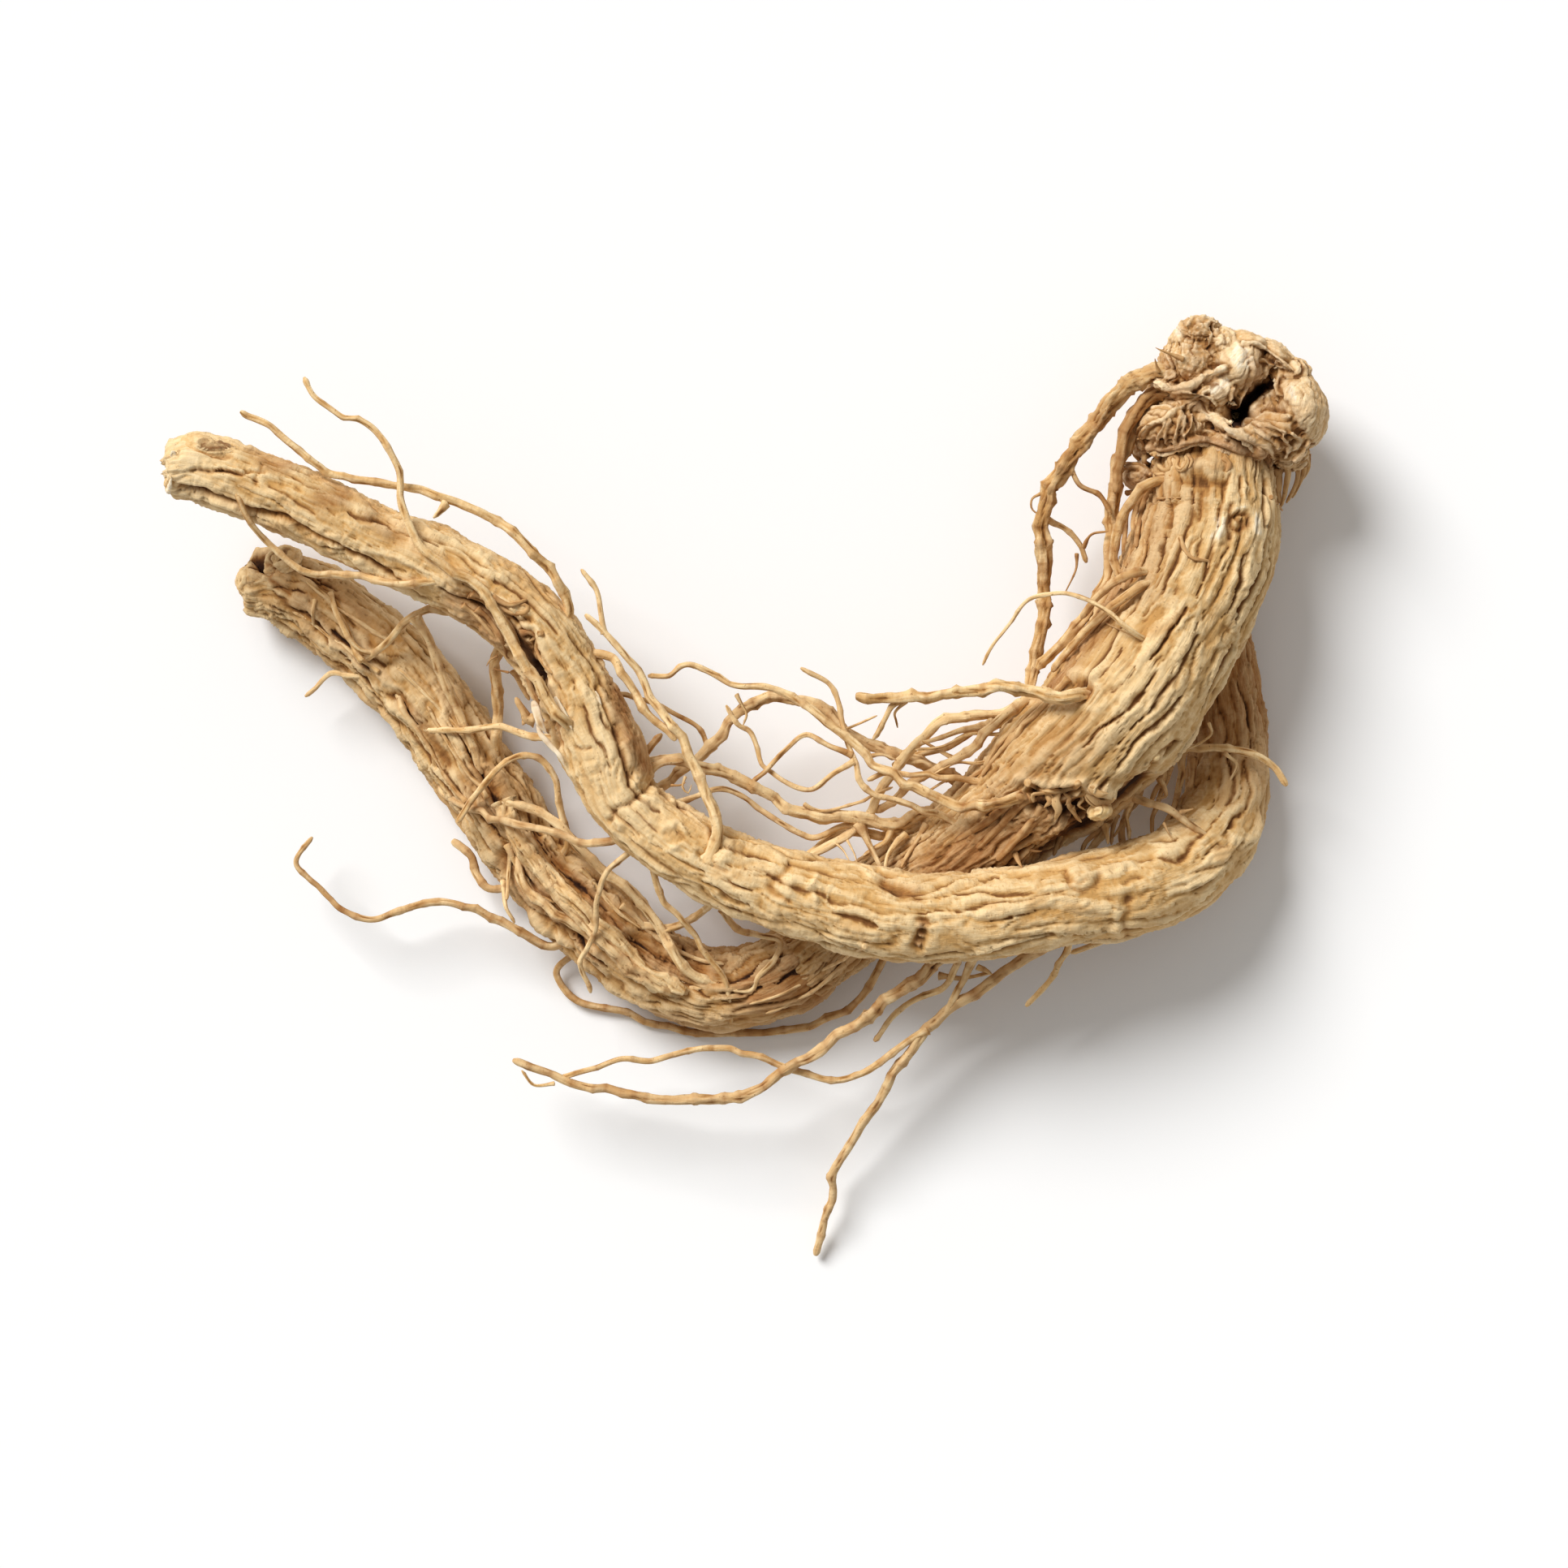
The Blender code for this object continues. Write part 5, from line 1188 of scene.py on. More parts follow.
# under the branch, towards the front
FRONT_ROOTLETS = [
    (1.9, 1.1, [(26, -22.5, 20.5), (22, -26.8, 17.8), (19, -29.2, 17), (15, -32.2, 16), (10, -35.8, 15),
        (4, -40, 14), (0, -42.6, 13.4), (-6, -45.8, 12.6), (-12, -46.5, 12), (-18, -46.8, 11.4),
        (-25, -45.5, 11), (-31, -44.3, 10.8), (-36, -42.4, 10.8), (-40, -40.8, 11)]),
    (1.1, 0.8, [(21.2, -36.4, 13.25), (15.5, -40, 12.6), (11, -43.2, 12), (6, -43.6, 11.8),
        (0, -41.6, 11.8), (-5.5, -39.8, 11.8), (-12, -39.1, 11.6), (-20, -40.8, 11.2), (-25, -40.9, 11),
        (-33, -43.6, 10.8)]),
    (1.7, 1.1, [(40, -22.5, 19), (34, -27, 17), (28.6, -30.6, 15.6), (22.4, -35, 13.8), (18, -40, 11.8),
        (15.4, -45, 10), (10.6, -52, 7.4), (7.4, -57.6, 5.4), (6.8, -63, 3.6), (4.7, -69.7, 1.6)]),
    (1.2, 1, [(30, -22, 19.8), (27.6, -27, 17.2), (26.4, -29.6, 16.4), (24, -33.8, 14.4)]),
    (1, 0.8, [(27, -23, 19.5), (25.2, -27, 17.4), (23.4, -30.4, 15.6), (17.5, -33, 14),
        (13.3, -37.8, 12.6)]),
    (1.2, 1, [(17, -22, 8), (12, -30.8, 4.5), (6.5, -34.8, 2.4), (0, -36.4, 1.5), (-9, -36.8, 1.2),
        (-16, -36.3, 1.2), (-23, -33.8, 1.2), (-30.6, -32, 1.2), (-33.5, -27.8, 1.8), (-31, -24.5, 3.5)]),
    (1, 0.8, [(43, -20.5, 19.5), (41, -26.2, 17), (39.6, -29, 16), (36, -33, 14.6)]),
    (0.9, 0.8, [(49.5, -18.5, 16.5), (47.6, -22.6, 14.6), (45.4, -24, 14), (42.6, -25.1, 13.4)]),
]
# over the tail
TAIL_ROOTLETS = [
    (1.4, 0.7, [(-29.5, -21, 6.5), (-34, -24.2, 7), (-39, -21.9, 7.4), (-44, -19.4, 7.8),
        (-48, -17.6, 8), (-52, -17.5, 8), (-57, -18.8, 8), (-61, -19.9, 8), (-66, -18, 8),
        (-69, -14.8, 8), (-72, -11.7, 8), (-69.7, -8, 8)]),
    (1.2, 1.2, [(-37, -14.5, 6.6), (-43, -15.7, 6), (-45.3, -13.6, 5.6), (-46.2, -10.6, 5.6),
        (-49, -8.4, 5.6)]),
    (1.2, 1, [(-21, -7, 21.5), (-28, -9, 20), (-34, -7.1, 18), (-40, -6, 15.6), (-46, -3.9, 12.4),
        (-50.6, -1, 8.5), (-49.6, 4.5, 7.5)]),
    (0.9, 0.7, [(-20.5, -8, 21.5), (-26, -13, 19.6), (-27.6, -17, 17.4), (-27.7, -21.4, 15.4),
        (-30, -26, 13), (-28.8, -30.8, 11)]),
    (1, 0.9, [(-34, -11.5, 8.5), (-31.8, -8.5, 11.5), (-33, -4, 13.4), (-34.4, 1.6, 15), (-37, 4, 15.6),
        (-40, 3.9, 15.6), (-44.4, 0, 14.8), (-48.4, -5.4, 13.4)]),
    (1, 0.8, [(-18.5, -9.5, 20), (-19, -13.5, 18), (-18, -17.4, 16.6), (-15, -20, 15.6),
        (-11, -25.6, 13.4), (-8.4, -30, 12), (-7.8, -35.2, 8.6)]),
    (1.5, 1.3, [(-9, -30, 10), (-14.6, -27.4, 12.2), (-17.8, -22.2, 12.6), (-22, -16.4, 12.8),
        (-28, -11.4, 13), (-34, -5.5, 13.2), (-41.5, -2.2, 12.8)]),
    (1.2, 1, [(-23, -20.6, 10), (-17, -21.3, 11.5), (-13.4, -19.6, 13.4), (-10, -16.5, 18)]),
    (2.4, 1.7, [(-12, -29.6, 9.5), (-16.5, -30.8, 10.8), (-21, -28.5, 12.2), (-27, -22.7, 13),
        (-33, -16.4, 13), (-38, -10, 12.4), (-42, -3.8, 9.5)]),
    (1.5, 1.2, [(-28, -22.4, 11.2), (-34, -18.8, 12), (-38.4, -14.6, 11.4), (-39.4, -8, 10)]),
    (1.2, 0.9, [(-47, 25.6, 20), (-52, 25.6, 18.2), (-55.4, 24.4, 17), (-58, 21.4, 15.2),
        (-60.6, 19.2, 13.6), (-64, 17.6, 10)]),
    (0.9, 0.8, [(-67, 28, 10), (-65.6, 24.6, 13), (-63, 20, 13.8), (-60.2, 19, 13.4)]),
    (0.9, 0.7, [(-58.5, 15.5, 9.5), (-64, 15.9, 9.4), (-67, 16.2, 8), (-70.6, 12.9, 7)]),
    (1.5, 1.1, [(-54.6, 24.7, 17.3), (-53, 22, 16.4), (-51, 17.6, 15), (-49, 12.4, 13.6),
        (-46.8, 7, 12.4), (-44.6, 1.6, 11)]),
    (1.7, 1.5, [(-40, 23, 19), (-42.6, 19, 15.6), (-42.5, 13, 12.6), (-42.2, 7, 10.6), (-42, 2, 8.6)]),
    (1.1, 0.9, [(-31.5, 6.4, 21), (-37.4, 7.2, 18.4), (-43, 8.2, 15.6), (-49, 7.8, 13.2),
        (-55.4, 8.6, 10)]),
    (1, 0.9, [(-57.8, 15.5, 10), (-56.6, 11, 11.6), (-54, 7.4, 11.2), (-50.2, 2.4, 8.4)]),
]
# beside the branch's inner flank and along its far end
BRANCH_ROOTLETS = [
    (1.8, 0.8, [(-11.5, -11.5, 26), (-10, -7.5, 27), (-10.4, -4, 26.6), (-12.5, 1, 26),
        (-15.2, 6.4, 25.6), (-18.6, 11, 25.2), (-21.2, 16, 25), (-24.8, 20.4, 25), (-29.3, 25, 25)]),
    (0.8, 0.7, [(-26.6, 22.25, 25), (-27.2, 26, 25), (-27.8, 29, 25), (-30, 31.6, 25)]),
    (1.3, 1.1, [(-32, 19.8, 22), (-26.4, 18.8, 24), (-23.6, 16, 24.6), (-20.6, 11, 24.9),
        (-16, 6.6, 25.2)]),
    (1.5, 0.9, [(-34.5, 22.5, 23.5), (-31.8, 25.4, 24.6), (-33, 29.4, 25.6), (-35.4, 32.7, 26),
        (-41, 37.6, 26.2), (-46, 40.4, 26.2), (-52, 43, 26.2), (-59, 44.4, 26.2), (-66.6, 45.6, 26.4),
        (-69, 47.2, 26.6), (-73.6, 50.8, 27), (-76.6, 53.2, 27), (-80.3, 55, 27)]),
    (1.7, 0.7, [(-30, 8, 24.5), (-32.5, 9.5, 27.8), (-34.5, 11.4, 28.2), (-38, 17.4, 28.2),
        (-41, 23, 28.6), (-44.6, 28.6, 29), (-50, 32.4, 29.2), (-54, 35.4, 29.2), (-56.2, 41, 29),
        (-57.2, 46.6, 28.8), (-60.4, 52, 28.6), (-66, 54.9, 28.4), (-69.4, 57, 28.2), (-71, 60, 28)]),
    (1.3, 0.8, [(-46.5, 29.6, 26.5), (-51.5, 30.1, 27.8), (-57, 29.6, 26.6), (-63, 30.7, 24.6),
        (-70, 31.5, 24), (-75.5, 35, 25), (-79.2, 39.2, 27), (-81, 42.8, 28)]),
]


def on_skin(points, diameter):
    """Gives each point without a height the height at which a strand lies half sunk in the skin there."""
    lift = 0.35 * diameter
    return [
        point if len(point) == 3 else (*point, skin_height(thick_roots, *point, 12.0) + lift)
        for point in points
    ]


def rootlet(mesh, root_diameter, tip_diameter, points, seed, flat=1.0, tone=0.0):
    """Adds one thin, kinked, tapering root to mesh, or a flat strip where flat is less than one."""
    route = [(*point, 0.0) for point in on_skin(points, tip_diameter)]
    centres, across, side, ahead, _, distances = along_route(route, ROOTLET_GAP)
    length = distances[-1]
    chance = np.random.default_rng(seed)
    joints = np.cumsum(chance.uniform(*JOINT_GAPS, int(length / JOINT_GAPS[0]) + 4)) - 2.0
    radii = 0.5 * (root_diameter + (tip_diameter - root_diameter) * distances / length)
    # it bends a little at each joint, and is thicker there and at its base
    kink = (0.10 + 0.22 * radii) * np.clip(distances / 2.0, 0.0, 1.0)
    for way in (across, side):
        aside = np.interp(distances, joints, chance.normal(0.0, 0.8, len(joints)))
        centres = centres + way * (kink * aside)[:, None]
    to_joint = np.abs(distances[:, None] - joints[None, :])
    knuckle = np.exp(-((to_joint / KNUCKLE_LENGTH) ** 2)) * chance.uniform(-0.1, 0.28, len(joints))
    radii = radii * (1.0 + knuckle.sum(1) + 0.5 * np.exp(-distances / FLARE_LENGTH))
    radii = radii * np.clip((length - distances) / (2.5 * radii) + 0.6, 0.0, 1.0)
    if flat < 1.0:
        radii = radii * np.sqrt(np.sin(math.pi * (0.04 + 0.92 * distances / length)))
    rings = [centres, across, side, ahead, radii, distances]
    centres, across, side, _, radii, distances, shares = with_ends(rings, ROOTLET_DOME)
    sides = max(ROOTLET_SIDES, round(SIDES_PER_MILLIMETRE * root_diameter))
    made, ring, turn, outward = hose(mesh, across * flat, side, sides)
    thick, along = radii[ring], distances[ring]

    spots = np.column_stack((np.cos(turn), np.sin(turn), along / WRINKLE_LENGTH))
    spots[:, :2] *= (1.2 + 1.5 * thick)[:, None]
    fibre = rounded_noise(spots * (2.1, 2.1, 1.2), seed + 3)
    groove = np.clip(thick - 0.5, 0.0, 0.8) * np.exp(-((fibre / 0.1) ** 2))
    wrinkle = rounded_noise(spots, seed) + 0.35 * np.cos(3.0 * turn + 0.5 * along + seed)
    wrinkle = wrinkle + 0.5 * fibre - 0.9 * groove
    depth = 0.17 + 0.4 * np.clip(thick - 0.55, 0.0, 0.6)
    places = centres[ring] + outward * (thick * shares[ring] * (1.0 + depth * wrinkle))[:, None]
    places[:, 2] = np.maximum(places[:, 2], FLOOR_GAP)

    # each has a tone of its own, darker in bands and at its joints, with painted shade in the shaded
    # corners
    age, youth = chance.uniform(-0.25, 0.4), chance.uniform(-0.3, 0.5)
    for right, up, reach, share in SHADED_CORNERS:
        away = np.hypot(places[:, 0] - right, places[:, 1] - up) / reach
        tone = tone + share * np.exp(-(away**2))
    bands = 0.5 * noise_along(along / BAND_LENGTH, seed + 6)
    to_joint = np.abs(along[:, None] - joints[None, :]).min(1)
    at_joint = 0.45 * np.exp(-((to_joint / JOINT_LENGTH) ** 2))
    grain = np.column_stack((thick * np.cos(turn) + seed, thick * np.sin(turn), along))
    # the wrinkles get painted shade in their low places and are painted paler on their high ones
    placed(mesh, made, places, grain, {
        "furrow_shade": np.clip(-0.8 * wrinkle - 0.15, 0.0, 1.0),
        "crest": np.clip(0.5 + 0.5 * wrinkle, 0.0, 1.0),
        "stain_and_shade": np.clip(age + tone + bands + at_joint, 0.0, 0.9),
        "bleach": np.clip(youth - tone - bands, 0.0, 0.55),
    })
    bmesh.ops.remove_doubles(mesh, verts=made, dist=WELD)


def rootlets(name, rows, material, seed):
    """One piece of many rootlets."""
    mesh = bmesh.new()
    bark_layers(mesh)
    for i, (root_diameter, tip_diameter, points, *more) in enumerate(rows):
        rootlet(mesh, root_diameter, tip_diameter, points, seed + 17 * i, *more)
    finished(name, mesh, material)


rootlet_skin = bark_material(
    "rootlet_skin",
    cream=(0.93, 0.71, 0.40), tan=(0.71, 0.44, 0.18), ochre=(0.56, 0.285, 0.08),
    brown=(0.25, 0.105, 0.028), deep_shade=(0.06, 0.02, 0.006), patches=0.8, specks=0.6, bump=0.9,
)
rootlets("flank_rootlets", FLANK_ROOTLETS, rootlet_skin, 100)
rootlets("crook_rootlets", CROOK_ROOTLETS, rootlet_skin, 1100)
rootlets("front_rootlets", FRONT_ROOTLETS, rootlet_skin, 2100)
rootlets("tail_rootlets", TAIL_ROOTLETS, rootlet_skin, 3100)
rootlets("branch_rootlets", BRANCH_ROOTLETS, rootlet_skin, 4100)

# The finest roots and the loose bark: threads that fork from the rootlets, fibres of torn bark,
# the curls under the crown's lip and strips that peel away. Places without a height lie on the
# skin of the thick roots there.
CROWN_FIBRES = [
    # wiry curls under the lip
    (0.8, 0.65, [(54.6, 48.9), (55.4, 48.2), (55.5, 47.2), (56.3, 46.5), (57, 47), (56.8, 48),
        (57.5, 48.7), (58.3, 48.1), (58.2, 47.1), (58.9, 46.6), (59.5, 47.3), (59.4, 48.3)]),
    (0.7, 0.55, [(54.8, 47.6), (54.4, 46.6), (55.2, 45.8), (56.2, 45.9), (57.2, 45.6)]),
    (0.7, 0.5, [(53.4, 48.6), (53.2, 47.6), (54, 46.9), (54.1, 45.9)]),
    (0.6, 0.4, [(59.8, 48.6), (60.2, 47.6), (59.8, 46.8)]),
    (0.7, 0.5, [(65, 48.2), (65.8, 47.3), (65.4, 46.3)]),
    # the folded ear on the left, a loop of strands
    (0.7, 0.5, [(48.9, 43.6), (48.8, 45.2), (49.8, 46.8), (51.6, 47.3), (53.4, 46.7), (54.3, 45.4)]),
    (0.6, 0.4, [(50.6, 43), (51.8, 43.4), (53.2, 43.9), (54.8, 44.9)]),
    (0.5, 0.3, [(52.6, 47.9), (51.6, 48.9), (51.9, 50.4), (52.8, 51.2)]),
    (0.5, 0.3, [(52.4, 49.4), (52, 51.2), (52.6, 52.8), (54, 53.2)]),
    (0.4, 0.3, [(53.2, 50.2), (52.7, 51.6), (53.4, 52.4)]),
    # reddish fibres that hang from the right of the crown, with white curls over them
    (1, 0.6, [(74, 48, 16), (74.4, 45.6, 14.5), (74, 43.2, 13), (73.6, 41, 12)]),
    (0.9, 0.5, [(75.2, 48.2, 15), (75.9, 45.8, 13.5), (75.4, 43.6, 12.5), (74.4, 41.6, 12)]),
    (0.9, 0.5, [(76.4, 48.4, 14), (76.8, 46.6, 13), (76.2, 44.6, 12), (75.2, 42.4, 11.5)]),
    (0.8, 0.4, [(77.4, 48.6, 13.5), (77.6, 46.8, 12.5), (76.8, 45.2, 12)]),
    (1.2, 0.7, [(73, 46.6, 14), (73.2, 44, 13.5), (73.2, 41.6, 12.5)]),
    (0.3, 0.25, [(76, 48.4, 17.6), (76.6, 47.6, 17.8), (77.4, 47.9, 17.6), (77.6, 47.2, 17.2),
        (77, 46.8, 17)]),
    (0.3, 0.25, [(75, 47.9, 18), (75.4, 47.2, 18), (76, 47.4, 17.8)]),
    # a spike and a twig at the knob
    (0.6, 0.2, [(59, 62.8), (57.6, 63.3, 21.5), (56.2, 64, 22), (55.1, 64.6, 22.2)]),
    (0.5, 0.2, [(55.4, 61, 20), (55, 62, 20.6), (54.8, 62.8, 21)]),
    # flakes and spikes on the taproot
    (0.55, 0.4, [(58.6, 36.4), (59.2, 34.8), (60.4, 33.6), (61.8, 33.3), (62.8, 32.9), (62.6, 32)]),
    (0.5, 0.25, [(72, 42.4), (72.8, 41.6), (73.6, 40.4)]),
    (0.3, 0.2, [(55.2, 42.2), (57, 42.3), (58.6, 42.4)]),
    (0.4, 0.2, [(45.6, 26.6), (47.6, 24), (50.4, 22.4), (53, 21)]),
]
FLANK_FIBRES = [
    # torn strands down the taproot's left flank
    (1, 0.7, [(54.8, 44.6), (53.2, 41.6), (52.6, 38.4), (52, 35)]),
    (0.9, 0.6, [(53.4, 43.6), (51.8, 40.4), (51.4, 36.4), (50.6, 32.2)]),
    (0.9, 0.5, [(52.2, 42.8), (50.6, 39.6), (50.4, 35.2), (50, 31), (48.6, 27.4)]),
    (0.8, 0.5, [(54.2, 41.4), (53, 37.8), (53.4, 34.2), (52.4, 31.2)]),
    (0.8, 0.5, [(51.2, 30.4), (49.8, 27.2), (47.6, 24.2), (45, 21.4), (43.2, 18.4)]),
    (0.9, 0.6, [(50.2, 28.6), (48.2, 25.6), (45.6, 22.6), (42.8, 19.4), (41, 16.6)]),
    (0.8, 0.5, [(49.4, 27), (46.6, 24.4), (43.6, 21.6), (41.4, 18.6), (39, 15.8)]),
    (0.9, 0.5, [(42, 15.6), (39.2, 12.4), (36, 9.6), (33.4, 6.2)]),
    (0.9, 0.6, [(40.4, 13.6), (37.4, 10.6), (34.6, 7.4), (31.6, 4.2), (29.4, 1.2)]),
    (0.8, 0.5, [(38.6, 12.4), (35.6, 10), (32.4, 6.6), (30.2, 3)]),
    (0.5, 0.3, [(44.3, 35, 14), (45.5, 37, 15), (47.8, 37.5, 16)]),
    (0.4, 0.2, [(43.3, 34, 12.5), (43, 31.5, 12), (41.5, 28, 11.5)]),
    (0.4, 0.2, [(38, 43, 15), (36.7, 42.2, 15), (36.8, 40.5, 14.6), (38, 39.5, 14.4)]),
    (2, 1.2, [(56, 58.2, 17), (52.2, 55.2, 18), (50.4, 51.2, 17.4), (49.6, 47.4, 16.6), (49, 43.2, 16)]),
]
CROOK_THREADS = [
    (1.2, 0.8, [(-21, 4.4, 20), (-19.6, 5.6, 20.4), (-18, 7.2, 20.6)]),
    (1.2, 0.9, [(-20, 2, 20.6), (-17.6, 3.2, 21), (-15, 3.3, 21)]),
    (0.5, 0.4, [(3, -3, 18.2), (5, -4, 18.2), (8, -3.6, 18), (11, -2.7, 17.8), (13.5, -1.5, 17.6),
        (16, -0.7, 17.4)]),
    (0.6, 0.3, [(12, 4, 21.6), (14.5, 4.3, 21.8), (16.5, 3.5, 21.8)]),
    (0.9, 0.6, [(17.5, 4.7, 16), (18.5, 3.3, 16.6), (20.5, 3.2, 17), (22, 2.3, 17.4)]),
    (1, 0.6, [(31, 9, 20), (29.5, 8.5, 19.4), (26, 8, 19), (23, 7, 18.6), (20, 6, 18)]),
    (0.6, 0.4, [(25, 3.8, 18.4), (22, 5.5, 18.6), (20.5, 6.3, 18.6)]),
    (1.2, 0.6, [(11, -5.8, 17), (13, -9.5, 17.6), (14.5, -12.4, 18)]),
    (1, 0.6, [(16, -5.6, 16), (15, -8.6, 16.6), (11.8, -10.6, 17.2)]),
    (0.9, 0.5, [(18, -7.4, 15.6), (15.6, -10, 16.6), (14.8, -12.6, 17.4)]),
    (0.8, 0.5, [(21, -6, 15.6), (18.8, -9.4, 16.2), (17.4, -12.2, 17)]),
    (0.4, 0.3, [(62.8, 9, 16), (63, 7.5, 15.4), (61.5, 6, 15), (59.5, 5, 15)]),
    (0.5, 0.3, [(65.3, 4.5, 15), (67, 2.8, 13.6), (66, 0.5, 13), (65.5, -0.5, 13), (67.5, -3, 13.4)]),
    (0.8, 0.5, [(55.5, 1, 16), (56.5, -1.5, 14.6), (55.2, -2.2, 14)]),
    (0.7, 0.5, [(51.5, -2, 16), (51, -5, 15), (51, -8.2, 16)]),
    (0.8, 0.6, [(47.5, -6, 15.4), (47.8, -8.8, 16.6)]),
    (0.5, 0.4, [(43.5, -6, 14), (40.5, -9.8, 15.6)]),
    (1.6, 1, [(34, -9.6, 14.5), (31, -10.8, 15), (27, -11.4, 15.4), (24.6, -14, 16.6)]),
    (0.35, 0.2, [(-14.6, 1, 26), (-14.9, -0.4, 26.4), (-14.2, -1.2, 26.6), (-13.9, -0.2, 26.6)]),
    (0.3, 0.2, [(-16.6, -0.2, 26), (-15.4, -0.2, 26.2), (-14.6, 0.1, 26.4)]),
    (0.3, 0.2, [(7.4, -8.6, 17), (8.6, -9.8, 17.6), (9.6, -11.2, 18.6)]),
    (0.3, 0.2, [(9.4, -8.4, 17), (10.4, -10.2, 17.8), (10.8, -11.6, 18.6)]),
    # tangled fine roots between the thicker ones
    (0.5, 0.3, [(6, 9.6, 15.4), (8.6, 8.2, 16.6), (11, 8.9, 18), (13.6, 10.2, 19)]),
    (0.5, 0.3, [(18, 12.2, 25.6), (16.4, 10.4, 24), (16.8, 8.4, 22)]),
    (0.5, 0.3, [(-7, 13.2, 19), (-5.4, 10.6, 18.6), (-5.9, 8.8, 18.2)]),
    (0.5, 0.3, [(30, 2.4, 18.4), (26.8, 0.6, 18.8), (24.4, 0.9, 19), (21.4, -0.9, 19)]),
    (0.6, 0.3, [(33, 5, 17.6), (29.4, 3.4, 18.6), (25.6, 3.1, 19), (22.4, 1.6, 19.2)]),
    (0.6, 0.4, [(36, 9.6, 19), (32, 7.6, 19.6), (27.4, 7.4, 19.8), (23.4, 5.4, 19.6), (19.6, 4.9, 19.4)]),
]
WASTE_STRANDS = [
    # the waste of bark and stubs in the hollow under the flap, and what crosses the gap beneath
    (0.8, 1.1, [(36, 0.2), (37.4, -0.6), (39.2, -0.9), (40.8, -1), (42.4, -0.4), (43.8, 0.2)], 1, -0.2),
    (1.3, 1.1, [(40.6, -1.2, 25.6), (40.2, -2.4, 26.2), (40.6, -3.8, 25.8), (40.2, -5.2, 24.8)], 0.8, -0.6),
    (1, 0.5, [(38.8, -1.4, 26), (39.3, -2.6, 26.2), (38.6, -3.6, 25.8)], 0.6, -0.2),
    (0.9, 0.5, [(42.4, -1.6, 25.4), (42, -2.9, 25.6), (42.6, -4, 24.8), (43.6, -5.2, 23.4)], 0.8, 0.2),
    (0.8, 0.4, [(36.9, -2.6, 25.6), (36.8, -1.6, 26.2), (37.9, -1.2, 26.6), (39.2, -1.4, 26.5),
        (39.9, -2.3, 26.2)], 0.5),
    (0.7, 0.4, [(43.4, -1.2, 25.4), (44.2, -2.2, 25.4), (43.6, -3.2, 25), (44.6, -3.9, 24.2)], 0.5),
    (0.6, 0.4, [(42.6, -3.4, 24.6), (43.1, -4.6, 23.6), (43.9, -5.6, 22.6)], 1, -0.3),
    (0.5, 0.3, [(41.4, -1.4, 25.8), (42.2, -2.2, 26), (41.6, -3, 25.8)], 0.5),
    # bark that flakes over the top of the nub
    (1.6, 1, [(44.8, -1.6), (45.9, -2.5), (47.3, -2.6), (48.8, -2.2)], 0.35, -0.5),
    (1.2, 0.8, [(45.2, -0.6), (46.4, -1.5), (47.8, -1.4)], 0.35, -0.4),
    (1.5, 1, [(38.4, -3.4), (35.8, -6.6), (33.6, -8.8), (31.6, -11.2)]),
    (1.3, 0.9, [(36.6, -1.8), (33.6, -4.8), (31.2, -7.2), (28.8, -9.6)]),
    (1.2, 0.8, [(35.4, -1.6), (31.8, -4.4), (28.4, -6.6), (25.4, -8.6)]),
    (0.9, 0.6, [(42.4, -5.6, 15), (41, -7.6, 15), (39.6, -10.4, 16)]),
    (0.9, 0.6, [(48.2, -5, 14), (46.6, -7, 14.6), (44.8, -8.6, 15.4), (44, -10.2, 16.4)]),
    (0.8, 0.5, [(49.2, -4.6, 13), (48.6, -6.6, 13.6), (48.4, -8.8, 15)]),
    (1.1, 0.7, [(55.6, 3, 15), (55.9, 0.8, 14), (55, -0.8, 13.4), (54.4, -2.6, 13)]),
    (0.9, 0.6, [(57, 2.6, 14), (56.2, -0.4, 12.4), (54.8, -4.4, 12), (54.4, -7.4, 13.6)]),
    (1.2, 0.8, [(59, 5, 12), (58.4, 1, 10.4), (57.8, -2.8, 10), (56.4, -6.4, 11.4)]),
    (1, 0.8, [(60.6, 4, 11), (60.2, 0.2, 9.6), (58.4, -4, 10), (57.8, -7.6, 11.4)]),
    (0.7, 0.4, [(53.2, 0.4, 14), (52.4, -2.6, 13), (50.6, -4.6, 13), (48.8, -7.6, 14.6)]),
    (1.1, 0.5, [(27.6, -7.6, 19.8), (29.6, -9.2, 20), (31.2, -10.4, 19.6), (33, -10.9, 19.2)]),
    (0.5, 0.3, [(30.2, -9.4, 20), (30.4, -10.6, 19.8), (30.9, -11.6, 19.4)]),
    (0.7, 0.2, [(34.2, -10.4, 20.4), (34.8, -11.6, 21.6), (35.4, -12.6, 22.4)]),
    (0.4, 0.2, [(36, -9.6, 19.6), (37, -9.9, 19.8), (38, -9.9, 19.8)]),
    (0.35, 0.15, [(56.2, -5.8, 19), (56.8, -7, 19.4), (57.6, -8.2, 19.6)]),
    (0.5, 0.3, [(58.6, -4.2, 18.6), (59.4, -4, 18.8), (60.4, -3.7, 18.8)]),
]
